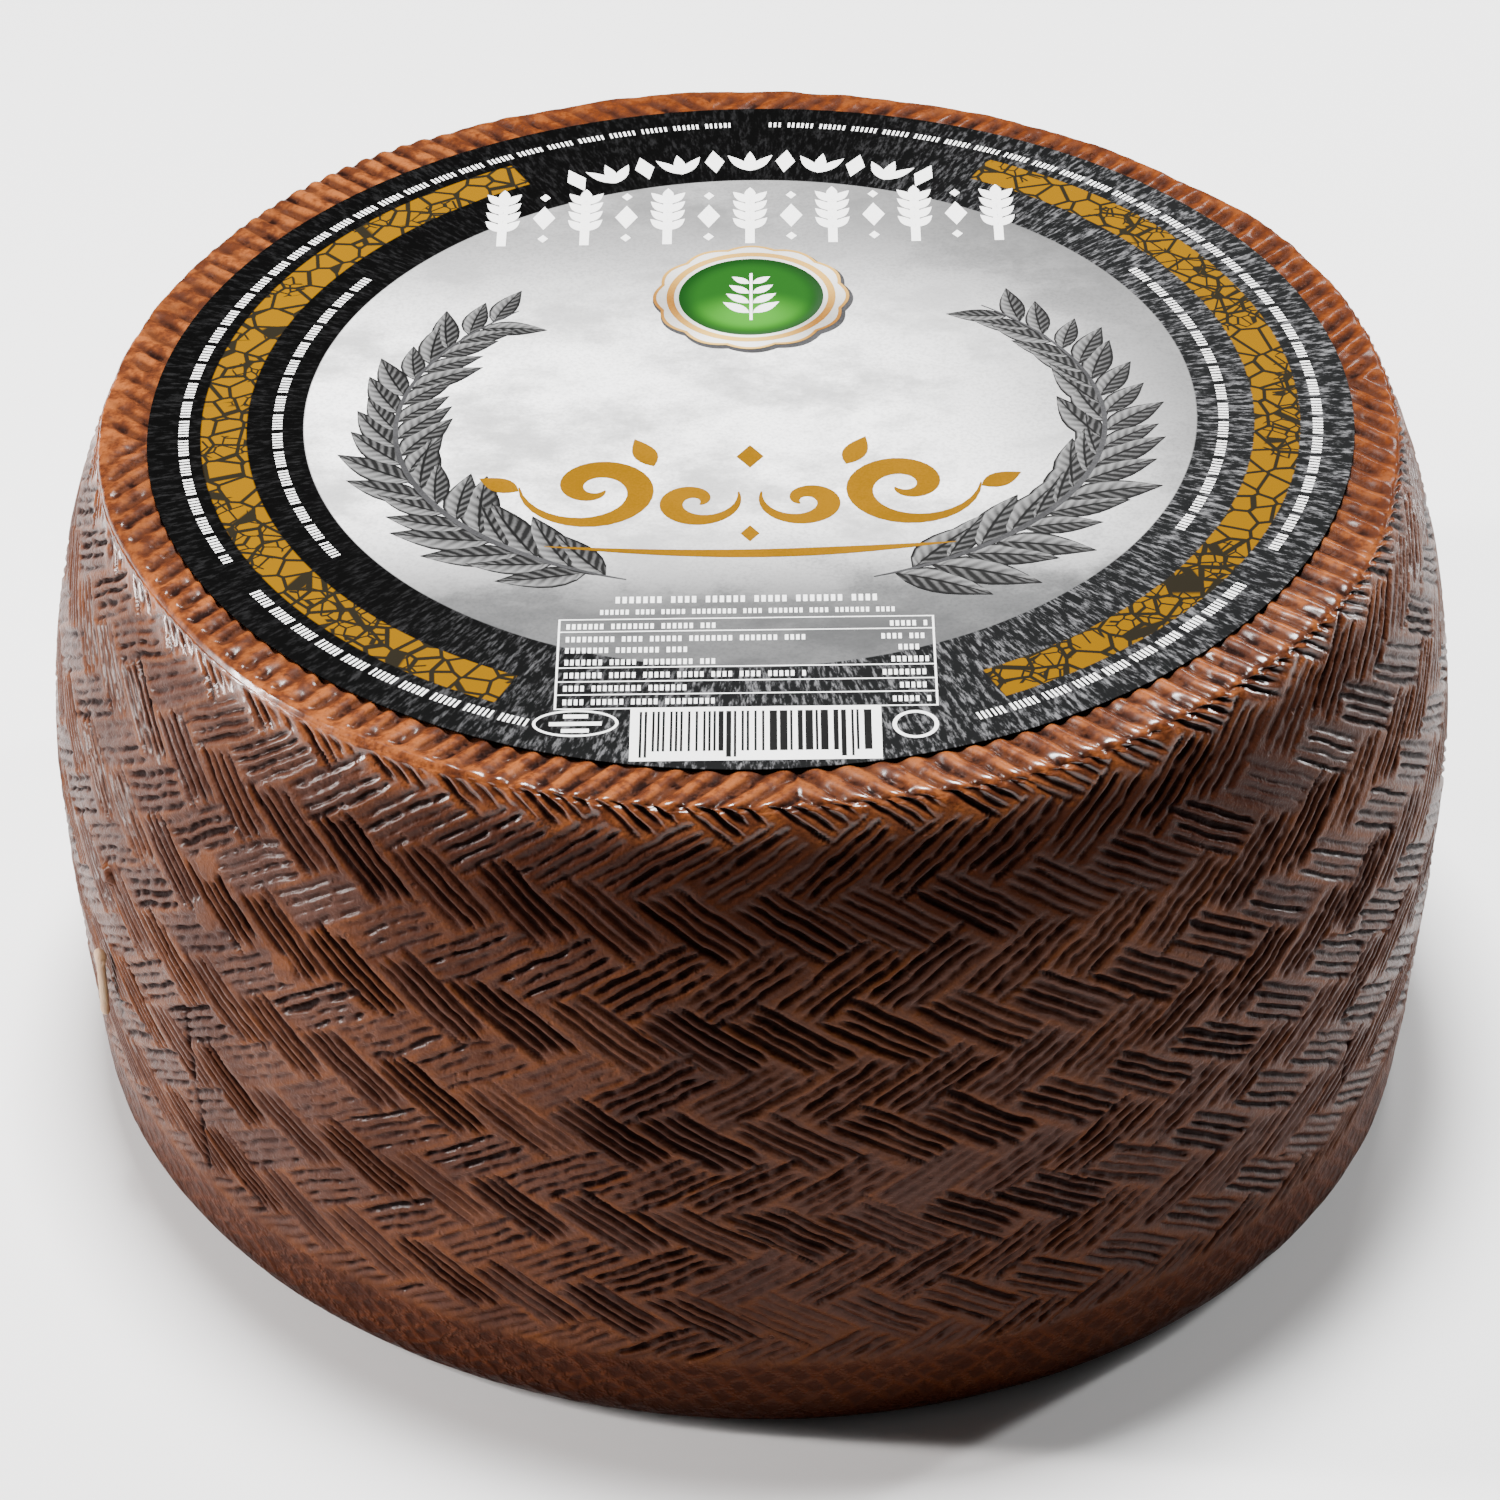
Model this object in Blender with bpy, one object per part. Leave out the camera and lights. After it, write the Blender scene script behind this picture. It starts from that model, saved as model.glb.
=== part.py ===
"""A whole ripened cheese wheel: a barrel-shaped round with the print of a braided belt all round its side,
parallel ridges on its top face, a round paper label on the top and a pale scrap of straw stuck to the rind.

Metres, +Z up. The origin is the middle of the flat base, and -Y is the front. An azimuth is measured from
the front and grows towards +X, so it runs counter-clockwise seen from above.
"""

import math
import random

import bmesh
import bpy
from mathutils import Matrix, Vector

MM = 0.001

# The wheel's body
WAIST_RADIUS = 102.5 * MM
WAIST_HEIGHT = 52.2 * MM
WHEEL_HEIGHT = 104.4 * MM
TOP_DROP = 9.9 * MM
TOP_POWER = 2.0
BASE_DROP = 3.5 * MM
BASE_POWER = 1.5
BASE_EDGE_HEIGHT = 6.0 * MM
BASE_EDGE_WIDTH = 4.5 * MM
BASE_EDGE_STEPS = 2
TOP_SLOPE = Vector((0.015, 0.015))

# How far the wheel is from a true round, as waves round its side
OVAL_COS = 0.22 * MM
OVAL_SIN = 0.89 * MM
WAVE_COUNTS = (3, 5, 7, 9, 11)
WAVE_SIZE = 0.16 * MM
WAVE_SEED = 11

# The print of the braid: bundles of reeds leaning one way in a row and the other way in the next
BUNDLES = 52
POINTS_PER_BUNDLE = 6
COLUMNS = BUNDLES * POINTS_PER_BUNDLE
ROW_HEIGHT = 8.2 * MM
FIRST_ROW_END = 3.8 * MM
ROW_COUNT = 11
SEAM_HEIGHT = 14.0 * MM
GROOVE_DEPTH = 0.8 * MM
INNER_CREST_DROP = 0.2
SHALLOWEST_BUNDLE = 0.55
BRAID_AZIMUTH = 0.0
BRAID_START = 4
BRAID_SEED = 4

# The ridges on the top face: four quarters of straight ridges that meet in a point at each join
QUARTERS = 4
HALF_RIDGES = 39
SEAT_RIDGE = 36
JOIN_AZIMUTH = math.radians(4.0)
RIDGE_DEPTH = 0.9 * MM
EDGE_SCALLOP = 0.5 * MM
SEAT_INSET = 0.9 * MM
GAP = 0.3 * MM

# The label
LABEL_RADIUS = 85.2 * MM
LABEL_THICKNESS = 0.3 * MM
LABEL_SIDES = 128

# The scrap of straw
STRAW_AZIMUTH = math.radians(-65.0)
STRAW_HEIGHT = 35.5 * MM
STRAW_LENGTH = 12.0 * MM
STRAW_RADIUS = 0.85 * MM
STRAW_KNOT_RADIUS = 1.15 * MM
STRAW_KNOT_SHARE = 0.3
STRAW_END_BLUNTNESS = 0.08
STRAW_END_POWER = 0.6
STRAW_SIDES = 10
STRAW_RINGS = 9

BASE_COLUMNS = COLUMNS // 3
HALF_PI = math.pi / 2
QUARTER_TURN = math.tau / QUARTERS
HALF_QUARTER = QUARTER_TURN / 2


def waves():
    """Each wave round the side, as its count and its phase."""
    draw = random.Random(WAVE_SEED)
    return [(count, draw.uniform(0, math.tau)) for count in WAVE_COUNTS]


WAVES = waves()


def barrel_radius(height):
    """The radius of the true round at a height: a barrel that narrows more to the top than to the base."""
    if height < BASE_EDGE_HEIGHT:
        rise = (BASE_EDGE_HEIGHT - height) / BASE_EDGE_HEIGHT
        return barrel_radius(BASE_EDGE_HEIGHT) - BASE_EDGE_WIDTH * (1 - math.sqrt(1 - rise * rise))
    away = (height - WAIST_HEIGHT) / WAIST_HEIGHT
    drop, power = (TOP_DROP, TOP_POWER) if away > 0 else (BASE_DROP, BASE_POWER)
    return WAIST_RADIUS - drop * abs(away) ** power


def unevenness(azimuth, height):
    """How far the side stands out of the true round: an oval, and waves that are largest at the top edge."""
    oval = OVAL_SIN * math.sin(2 * azimuth) + OVAL_COS * math.cos(2 * azimuth)
    wave = sum(math.sin(count * azimuth + phase) for count, phase in WAVES)
    return oval + WAVE_SIZE * wave * (height / WHEEL_HEIGHT) ** 2


def placed(radius, azimuth, height):
    """A point of the wheel. Heights grow with the slope of the top, so that the base stays level."""
    x = radius * math.sin(azimuth)
    y = -radius * math.cos(azimuth)
    lift = TOP_SLOPE.dot(Vector((x, y))) * height / WHEEL_HEIGHT
    return Vector((x, y, height + lift))


def side_point(azimuth, height, inward=0.0):
    radius = barrel_radius(height) + unevenness(azimuth, height) - inward
    return placed(radius, azimuth, height)


TOP_RADIUS = barrel_radius(WHEEL_HEIGHT)
RIDGE_SPACING = TOP_RADIUS * math.sin(HALF_QUARTER) / HALF_RIDGES
SEAT_RADIUS = SEAT_RIDGE * RIDGE_SPACING / math.sin(HALF_QUARTER)


def braid_heights():
    """The heights of the lines where the braid's rows meet, from under the top edge down to the seam."""
    first = WHEEL_HEIGHT - FIRST_ROW_END
    return [first - ROW_HEIGHT * row for row in range(ROW_COUNT)] + [SEAM_HEIGHT]


def braid_line(bm, line, height, depths):
    """One line of points round the side, crests and grooves in turn. Lines lean right, then left."""
    lean = POINTS_PER_BUNDLE // 2
    shift = 0 if height == SEAM_HEIGHT else (lean if line % 2 == 0 else -lean)
    points = []
    for column in range(BRAID_START, BRAID_START + COLUMNS):
        azimuth = BRAID_AZIMUTH + math.tau * (column + shift) / COLUMNS
        depth = GROOVE_DEPTH * depths.uniform(SHALLOWEST_BUNDLE, 1.0)
        place = column % POINTS_PER_BUNDLE
        if place % 2 == 0:
            depth *= INNER_CREST_DROP if place else 0.0
        points.append(bm.verts.new(side_point(azimuth, height, depth)))
    return points


def ridge_azimuth(quarter, ridge, radius):
    middle = JOIN_AZIMUTH + HALF_QUARTER + quarter * QUARTER_TURN
    return middle + math.asin(max(-1.0, min(1.0, ridge * RIDGE_SPACING / radius)))


def edge_line(bm):
    """The top edge: the outer ends of the ridges, an odd one a crest and an even one a groove."""
    points = []
    for quarter in range(QUARTERS):
        for ridge in range(-HALF_RIDGES, HALF_RIDGES):
            azimuth = ridge_azimuth(quarter, ridge, TOP_RADIUS)
            crest = ridge % 2 != 0
            radius = TOP_RADIUS + unevenness(azimuth, WHEEL_HEIGHT) - (0.0 if crest else EDGE_SCALLOP)
            height = WHEEL_HEIGHT - (0.0 if crest else RIDGE_DEPTH)
            points.append(bm.verts.new(placed(radius, azimuth, height)))
    return points


def ridge_inner_ends(bm):
    """The inner ends of the ridges, by column. Near a join two ridges run into one point on it."""
    shared = {}
    ends = []
    for quarter in range(QUARTERS):
        for ridge in range(-HALF_RIDGES, HALF_RIDGES):
            at_join = abs(ridge) >= SEAT_RIDGE
            join = (quarter + (ridge > 0)) % QUARTERS
            key = (join, abs(ridge)) if at_join else (quarter, ridge, "seat")
            if abs(ridge) == HALF_RIDGES:
                ends.append(None)
                continue
            if key not in shared:
                radius = abs(ridge) * RIDGE_SPACING / math.sin(HALF_QUARTER) if at_join else SEAT_RADIUS
                azimuth = ridge_azimuth(quarter, ridge, radius)
                height = WHEEL_HEIGHT - (0.0 if ridge % 2 != 0 else RIDGE_DEPTH)
                shared[key] = bm.verts.new(placed(radius, azimuth, height))
            ends.append(shared[key])
    return ends


def ring_faces(bm, upper, lower):
    """Quads from one closed line of points down to the next, facing out."""
    count = len(upper)
    for i in range(count):
        after = (i + 1) % count
        bm.faces.new((upper[i], lower[i], lower[after], upper[after]))


def stitch(bm, upper, lower):
    """Triangles from a line of points to one with a third as many."""
    count = len(lower)
    ratio = len(upper) // count
    for i in range(count):
        start, end = lower[i], lower[(i + 1) % count]
        above = [upper[(ratio * i + k) % len(upper)] for k in range(ratio + 1)]
        bm.faces.new((above[0], start, above[1]))
        bm.faces.new((above[1], start, end))
        for left, right in zip(above[1:], above[2:]):
            bm.faces.new((left, end, right))


def ridge_faces(bm, edge, inner):
    """The ring of ridges on the top face. Beside a join the strips end in triangles."""
    for column in range(COLUMNS):
        after = (column + 1) % COLUMNS
        corners = [edge[column], edge[after], inner[after], inner[column]]
        corners = [corner for corner in corners if corner is not None]
        bm.faces.new(corners)


def seat_faces(bm, inner):
    """A step down from the ridges' inner ends to the flat seat under the label, and the seat."""
    ring = []
    for end in inner:
        if end is not None and end not in ring and end.co.to_2d().length < SEAT_RADIUS + GAP:
            ring.append(end)
    seat = []
    for end in ring:
        flat = end.co.to_2d()
        azimuth = math.atan2(flat.x, -flat.y)
        seat.append(bm.verts.new(placed(SEAT_RADIUS - SEAT_INSET, azimuth, WHEEL_HEIGHT - GAP)))
    ring_faces(bm, seat, ring)
    bm.faces.new(seat)


def base_faces(bm, seam):
    """From the seam down round the bottom edge, and the flat base."""
    above = seam
    for turn in range(BASE_EDGE_STEPS + 1):
        angle = turn * HALF_PI / BASE_EDGE_STEPS
        height = BASE_EDGE_HEIGHT * (1 - math.sin(angle))
        ring = []
        for column in range(BASE_COLUMNS):
            azimuth = BRAID_AZIMUTH + math.tau * (column / BASE_COLUMNS + BRAID_START / COLUMNS)
            ring.append(bm.verts.new(side_point(azimuth, height)))
        if turn == 0:
            stitch(bm, above, ring)
        else:
            ring_faces(bm, above, ring)
        above = ring
    bm.faces.new(list(reversed(above)))


def material(name, colour, roughness):
    made = bpy.data.materials.new(name)
    made.use_nodes = True
    shader = made.node_tree.nodes["Principled BSDF"]
    shader.inputs["Base Color"].default_value = (*colour, 1.0)
    shader.inputs["Roughness"].default_value = roughness
    shader.inputs["Metallic"].default_value = 0.0
    return made


def finished(bm, name, colour, roughness, sharp_angle):
    """Makes the mesh an object of its own, smooth but for the edges sharper than the angle."""
    bmesh.ops.recalc_face_normals(bm, faces=bm.faces)
    mesh = bpy.data.meshes.new(name)
    bm.to_mesh(mesh)
    bm.free()
    mesh.shade_smooth()
    mesh.set_sharp_from_angle(angle=math.radians(sharp_angle))
    mesh.materials.append(material(name, colour, roughness))
    made = bpy.data.objects.new(name, mesh)
    bpy.context.scene.collection.objects.link(made)
    return made


def make_cheese():
    """The wheel itself, one solid from the ridged top to the flat base."""
    bm = bmesh.new()
    depths = random.Random(BRAID_SEED)
    edge = edge_line(bm)
    inner = ridge_inner_ends(bm)
    ridge_faces(bm, edge, inner)
    seat_faces(bm, inner)
    above = edge
    for line, height in enumerate(braid_heights()):
        below = braid_line(bm, line, height, depths)
        ring_faces(bm, above, below)
        above = below
    base_faces(bm, above)
    return finished(bm, "cheese", (0.16, 0.055, 0.022), 0.38, 30)


def make_label():
    """The round paper label, flat on the crests of the ridges and as sloped as the top."""
    bm = bmesh.new()
    bmesh.ops.create_cone(
        bm,
        cap_ends=True,
        segments=LABEL_SIDES,
        radius1=LABEL_RADIUS,
        radius2=LABEL_RADIUS,
        depth=LABEL_THICKNESS,
    )
    slope = Matrix.Identity(4)
    slope[2][0] = TOP_SLOPE.x
    slope[2][1] = TOP_SLOPE.y
    slope[2][3] = WHEEL_HEIGHT + LABEL_THICKNESS / 2
    bm.transform(slope)
    return finished(bm, "label", (0.45, 0.45, 0.44), 0.45, 30)


def make_straw():
    """The scrap of straw: a short round stem along the rind, with a thicker knot at its upper end."""
    bm = bmesh.new()
    outwards = Vector((math.sin(STRAW_AZIMUTH), -math.cos(STRAW_AZIMUTH), 0.0))
    sideways = Vector((math.cos(STRAW_AZIMUTH), math.sin(STRAW_AZIMUTH), 0.0))
    rings = []
    for step in range(STRAW_RINGS):
        along = step / (STRAW_RINGS - 1)
        height = STRAW_HEIGHT + STRAW_LENGTH * (0.5 - along)
        end = math.sqrt(max(STRAW_END_BLUNTNESS, math.sin(math.pi * along) ** STRAW_END_POWER))
        radius = end * (STRAW_KNOT_RADIUS if along < STRAW_KNOT_SHARE else STRAW_RADIUS)
        centre = side_point(STRAW_AZIMUTH, height) + outwards * (radius + GAP)
        ring = []
        for side in range(STRAW_SIDES):
            angle = math.tau * side / STRAW_SIDES
            offset = outwards * math.sin(angle) + sideways * math.cos(angle)
            ring.append(bm.verts.new(centre + offset * radius))
        rings.append(ring)
    for above, below in zip(rings, rings[1:]):
        ring_faces(bm, above, below)
    bm.faces.new(rings[0])
    bm.faces.new(list(reversed(rings[-1])))
    return finished(bm, "straw", (0.62, 0.50, 0.32), 0.6, 50)


def main():
    for old in list(bpy.data.objects):
        bpy.data.objects.remove(old, do_unlink=True)
    make_cheese()
    make_label()
    make_straw()


main()
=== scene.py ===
"""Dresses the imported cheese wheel: a ripened round with the print of a braided belt round its side, pressed
ridges on its top, a printed paper label and a pale scrap of straw stuck to the rind.

Metres, +Z up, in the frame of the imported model: the origin is the middle of the base and -Y is the front.
An azimuth is measured from the front and grows towards +X, so it runs counter-clockwise seen from above.
"""

import math
import random

import bmesh
import bpy
import numpy as np
from bpy.props import FloatProperty, FloatVectorProperty, IntProperty, PointerProperty
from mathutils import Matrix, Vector


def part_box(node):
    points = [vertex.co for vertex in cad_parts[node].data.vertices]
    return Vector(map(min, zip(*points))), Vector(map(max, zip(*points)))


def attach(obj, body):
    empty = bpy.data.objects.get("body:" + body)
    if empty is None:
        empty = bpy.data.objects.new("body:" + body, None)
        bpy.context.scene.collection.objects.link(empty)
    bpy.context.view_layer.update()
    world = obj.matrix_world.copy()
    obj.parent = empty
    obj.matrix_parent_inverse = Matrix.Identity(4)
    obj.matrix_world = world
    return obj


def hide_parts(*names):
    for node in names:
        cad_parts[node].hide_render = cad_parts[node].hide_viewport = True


bl_info = {
    "name": "Cheese wheel",
    "version": (1, 0, 0),
    "blender": (4, 5, 0),
    "location": "3D View > Sidebar > Cheese",
    "description": "Makes the looks of a ripened cheese wheel round its packed CAD model",
    "category": "Object",
}

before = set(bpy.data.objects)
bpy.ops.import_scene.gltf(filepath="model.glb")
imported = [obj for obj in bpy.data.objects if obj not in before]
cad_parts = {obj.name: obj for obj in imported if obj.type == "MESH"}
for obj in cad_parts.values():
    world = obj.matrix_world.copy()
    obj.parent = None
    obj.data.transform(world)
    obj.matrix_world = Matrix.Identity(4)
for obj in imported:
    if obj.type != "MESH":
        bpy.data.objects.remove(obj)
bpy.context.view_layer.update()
LABEL_LOW, LABEL_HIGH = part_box("label")

MM = 0.001

# The shader's sockets that take one value all over
SOCKETS = {
    "ior": "IOR",
    "metallic": "Metallic",
    "specular": "Specular IOR Level",
    "coat_roughness": "Coat Roughness",
    "coat_tint": "Coat Tint",
}

# The wheel's body, as in the CAD source
WAIST_RADIUS = 102.5 * MM
WAIST_HEIGHT = 52.2 * MM
WHEEL_HEIGHT = 104.4 * MM
TOP_DROP = 9.9 * MM
TOP_POWER = 2.0
BASE_DROP = 3.5 * MM
BASE_POWER = 1.5
FOOT_HEIGHT = 6.0 * MM
FOOT_WIDTH = 4.5 * MM
TOP_SLOPE = (0.015, 0.015)
OVAL_COS = 0.22 * MM
OVAL_SIN = 0.89 * MM
WAVE_COUNTS = (3, 5, 7, 9, 11)
WAVE_SIZE = 0.16 * MM
WAVE_SEED = 11

# The braid on the side
BUNDLES = 52
ROW_HEIGHT = 8.2 * MM
FIRST_ROW_HEIGHT = 104.7 * MM
BRAID_TURN = 0.514
CRISP_STROKES = 4.5
SOFT_STROKES = 4.2
SEAM_HEIGHT = 14.0 * MM

# Smooth spots in the braid, each by its azimuth in degrees and its height and radius in millimetres
SMOOTH_SPOTS = ((-47.2, 75.6, 2.6), (-47.2, 67.6, 2.5), (-38.2, 67.0, 2.4))

# The ridges on the top face, in four quarters that meet in points at the joins
QUARTERS = 4
HALF_RIDGES = 39
SEAT_RIDGE = 36
JOIN_AZIMUTH = math.radians(4.0)
EDGE_SCALLOP = 0.5 * MM
LIP_AZIMUTH = math.radians(-53)
FLANK_AZIMUTH = math.radians(-103)
POOLED_AZIMUTH = math.radians(138)
TOP_RADIUS = WAIST_RADIUS - TOP_DROP
QUARTER_TURN = math.tau / QUARTERS
HALF_QUARTER = QUARTER_TURN / 2
RIDGE_SPACING = TOP_RADIUS * math.sin(HALF_QUARTER) / HALF_RIDGES
SEAT_RADIUS = SEAT_RIDGE * RIDGE_SPACING / math.sin(HALF_QUARTER)

# The sheet that becomes the rind: columns round the wheel, and rows from under the label to the floor
COLUMNS_PER_BUNDLE = 24
COLUMNS = BUNDLES * COLUMNS_PER_BUNDLE
SHEET_INSIDE = 8.6 * MM
RIM_STEP = 0.42 * MM
EDGE_START = 1.8 * MM
EDGE_STEP = 0.27 * MM
SIDE_START = 1.17 * MM
SIDE_STEP = ROW_HEIGHT / COLUMNS_PER_BUNDLE
FOOT_STEP = 0.57 * MM
FOOT_TURNS = 9
SIDE_PIECES = ("rind_front", "rind_right", "rind_back", "rind_left")

# What the rind's mesh carries for its material: how deep a point lies in a stroke and in a groove between
# ridges, whether it is on a bundle, the bundle's tone, and the height over the floor
CARRIED = ("pressed", "groove", "bundle", "tone", "height")

# The label
LABEL_RADIUS = (LABEL_HIGH.x - LABEL_LOW.x) / 2
PAPER_BOTTOM = 0.02 * MM
PAPER_TOP = 0.17 * MM
PRINT_SUNK = 0.15 * MM
SEAL_PLACE = (0.15 * MM, 29.4 * MM)
SEAL_MIDDLE = (SEAL_PLACE[0] / MM, SEAL_PLACE[1] / MM)
GROUP_OF_DASHES = 6

# Each arc of dashes: its name, its share of the label's radius, its ends in degrees, the places on it and the
# dashes' height in millimetres
DASH_ARCS = (
    ("outer_ticks_left", 0.940, -178.0, -62.0, 227, 1.4),
    ("outer_ticks_right", 0.940, 62.0, 178.0, 227, 1.4),
    ("front_ticks_left", 0.940, -56.4, -21.0, 69, 1.6),
    ("front_ticks_right", 0.940, 21.5, 55.5, 69, 1.6),
    ("inner_ticks_left", 0.785, -122.5, -57.0, 111, 1.4),
    ("inner_ticks_right", 0.785, 61.0, 122.5, 104, 1.4),
)

# The camera, as the photograph's own, and the light
CAMERA_PLACE = (0.0, -0.5786, 0.4661)
CAMERA_TILT = math.radians(53.9)
CAMERA_LENS = 115.2
CAMERA_SENSOR = 36.0
FLOOR_SIZE = 6.0
FLOOR_BELOW = 0.2 * MM

# Each light: its name, place, size, power and colour
LIGHTS = (
    ("left strip", (-0.8, -0.05, 0.28), (0.045, 0.5), 16, (1.0, 0.95, 0.93)),
    ("right strip", (0.74, 0.4, 0.24), (0.04, 0.46), 9, (1, 1, 1)),
    ("overhead", (-0.05, 0.15, 1.15), (0.3, 0.24), 44, (1, 1, 1)),
    ("far window", (0.26, 0.62, 0.56), (0.14, 0.09), 2.4, (1, 1, 1)),
)
LIGHT_AIM = Vector((0, 0, 0.05))


def feed(tree, socket, value):
    """Gives a node's input a link or a constant."""
    if isinstance(value, Field):
        tree.links.new(value.socket, socket)
    elif value is not None:
        socket.default_value = value


def work_out(tree, operation, *values):
    """A Math node on links and constants, as a field."""
    node = tree.nodes.new("ShaderNodeMath")
    node.operation = operation
    for socket, value in zip(node.inputs, values):
        feed(tree, socket, value)
    return Field(tree, node.outputs[0])


def sum_method(operation, swapped=False):
    """A method of Field that adds a Math node, with the field last where the two are swapped."""

    def method(self, *others):
        values = (*others, self) if swapped else (self, *others)
        return work_out(self.tree, operation, *values)

    return method


class Field:
    """A number in a node tree that varies over a surface. Sums on it add the nodes that work them out."""

    def __init__(self, tree, socket):
        self.tree = tree
        self.socket = socket

    __add__ = sum_method("ADD")
    __radd__ = sum_method("ADD", swapped=True)
    __sub__ = sum_method("SUBTRACT")
    __rsub__ = sum_method("SUBTRACT", swapped=True)
    __mul__ = sum_method("MULTIPLY")
    __rmul__ = sum_method("MULTIPLY", swapped=True)
    __truediv__ = sum_method("DIVIDE")
    __pow__ = sum_method("POWER")
    __abs__ = sum_method("ABSOLUTE")
    sin = sum_method("SINE")
    cos = sum_method("COSINE")
    root = sum_method("SQRT")
    floor = sum_method("FLOOR")
    nearest = sum_method("ROUND")
    wrapped = sum_method("FLOORED_MODULO")
    below = sum_method("LESS_THAN")
    at_least = sum_method("MAXIMUM")
    at_most = sum_method("MINIMUM")

    def rise(self, low, high):
        """A smooth step from 0 at low to 1 at high."""
        node = self.tree.nodes.new("ShaderNodeMapRange")
        node.interpolation_type = "SMOOTHSTEP"
        for name, value in (("Value", self), ("From Min", low), ("From Max", high)):
            feed(self.tree, node.inputs[name], value)
        return Field(self.tree, node.outputs[0])


def add_node(tree, kind, inputs=(), **settings):
    """A node with its settings, and with its inputs given by name or place."""
    node = tree.nodes.new(kind)
    for name, value in settings.items():
        setattr(node, name, value)
    for name, value in dict(inputs).items():
        feed(tree, node.inputs[name], value)
    return node


def made_by(tree, kind, output, inputs=(), **settings):
    """One output of a new node, as a field."""
    return Field(tree, add_node(tree, kind, inputs, **settings).outputs[output])


def vector_of(tree, x, y, z):
    """A vector of three numbers."""
    return made_by(tree, "ShaderNodeCombineXYZ", 0, {"X": x, "Y": y, "Z": z})


def parts_of(tree, vector):
    """The three numbers of a vector or a colour."""
    node = add_node(tree, "ShaderNodeSeparateXYZ", {0: vector})
    return [Field(tree, socket) for socket in node.outputs]


def noise(tree, place, size, detail=2.0, roughness=0.5):
    """Soft noise from 0 to 1 about 0.5, with features of a size in metres."""
    inputs = {"Vector": place, "Scale": 1 / size, "Detail": detail, "Roughness": roughness}
    return made_by(tree, "ShaderNodeTexNoise", 0, inputs)


def noise_vector(tree, place, size):
    """Three numbers of soft noise, each about 0."""
    found = made_by(tree, "ShaderNodeTexNoise", 1, {"Vector": place, "Scale": 1 / size, "Detail": 1.0})
    return [part - 0.5 for part in parts_of(tree, found)]


def chances(tree, x, y, z, seed):
    """Three random numbers from 0 to 1 for each whole x, y and z."""
    inputs = {"Vector": vector_of(tree, x, y, z), "W": seed}
    return parts_of(tree, made_by(tree, "ShaderNodeTexWhiteNoise", 1, inputs, noise_dimensions="4D"))


def waves():
    """Each wave round the side, as its count and its phase, drawn as in the CAD source."""
    draw = random.Random(WAVE_SEED)
    return [(count, draw.uniform(0, math.tau)) for count in WAVE_COUNTS]


WAVES = waves()


def lift(x, y, share=1.0):
    """How much the slope of the top raises a point of the top, or of the side at a share of the height."""
    return (TOP_SLOPE[0] * x + TOP_SLOPE[1] * y) * share


def tree_inputs(tree, wanted):
    """Adds the named inputs to a node group, and gives each as a field of a group input node."""
    for name, kind, default in wanted:
        socket = tree.interface.new_socket(name, in_out="INPUT", socket_type=kind)
        if default is not None:
            socket.default_value = default
    node = tree.nodes.new("NodeGroupInput")
    return {name: Field(tree, node.outputs[name]) for name, kind, default in wanted}


def stored(tree, name):
    """An attribute that the mesh carries, in a geometry tree."""
    kind = "GeometryNodeInputNamedAttribute"
    return made_by(tree, kind, "Attribute", {"Name": name}, data_type="FLOAT")


def keep(tree, geometry, name, value):
    """Stores a field on the geometry's points under a name, for the materials to read."""
    kind = "GeometryNodeStoreNamedAttribute"
    inputs = {"Geometry": geometry, "Name": name, "Value": value}
    return made_by(tree, kind, "Geometry", inputs, data_type="FLOAT", domain="POINT")


def finish_tree(tree, geometry, material):
    """Ends a geometry tree: instances made real, the material set, and the result put out."""
    tree.interface.new_socket("Geometry", in_out="OUTPUT", socket_type="NodeSocketGeometry")
    real = made_by(tree, "GeometryNodeRealizeInstances", "Geometry", {"Geometry": geometry})
    inputs = {"Geometry": real, "Material": material}
    painted = made_by(tree, "GeometryNodeSetMaterial", "Geometry", inputs)
    add_node(tree, "NodeGroupOutput", {"Geometry": painted})


def profile(tree, drop, rounding):
    """The wheel's outline by the distance along it from the top edge, in towards the middle below nought and
    down the side above. Gives the radius, the height and how far the point lies in from the edge."""
    down = work_out(tree, "SMOOTH_MAX", drop, 0.0, rounding)
    inside = work_out(tree, "SMOOTH_MAX", drop * -1, 0.0, rounding)
    height = WHEEL_HEIGHT - down
    away = (height.at_least(FOOT_HEIGHT) - WAIST_HEIGHT) / WAIST_HEIGHT
    top_part = away.at_least(0.0) ** TOP_POWER * TOP_DROP
    base_part = (away * -1).at_least(0.0) ** BASE_POWER * BASE_DROP
    rise = ((FOOT_HEIGHT - height) / FOOT_HEIGHT).at_least(0.0).at_most(1.0)
    foot = (1 - (1 - rise * rise).root()) * FOOT_WIDTH
    return WAIST_RADIUS - top_part - base_part - foot - inside, height, inside


def unevenness(azimuth, height):
    """How far the side stands out of the true round, as in the CAD source."""
    total = (azimuth * 2).sin() * OVAL_SIN + (azimuth * 2).cos() * OVAL_COS
    wave = 0.0
    for count, phase in WAVES:
        wave = (azimuth * count + phase).sin() + wave
    share = height / WHEEL_HEIGHT
    return total + wave * share * share * WAVE_SIZE


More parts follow.
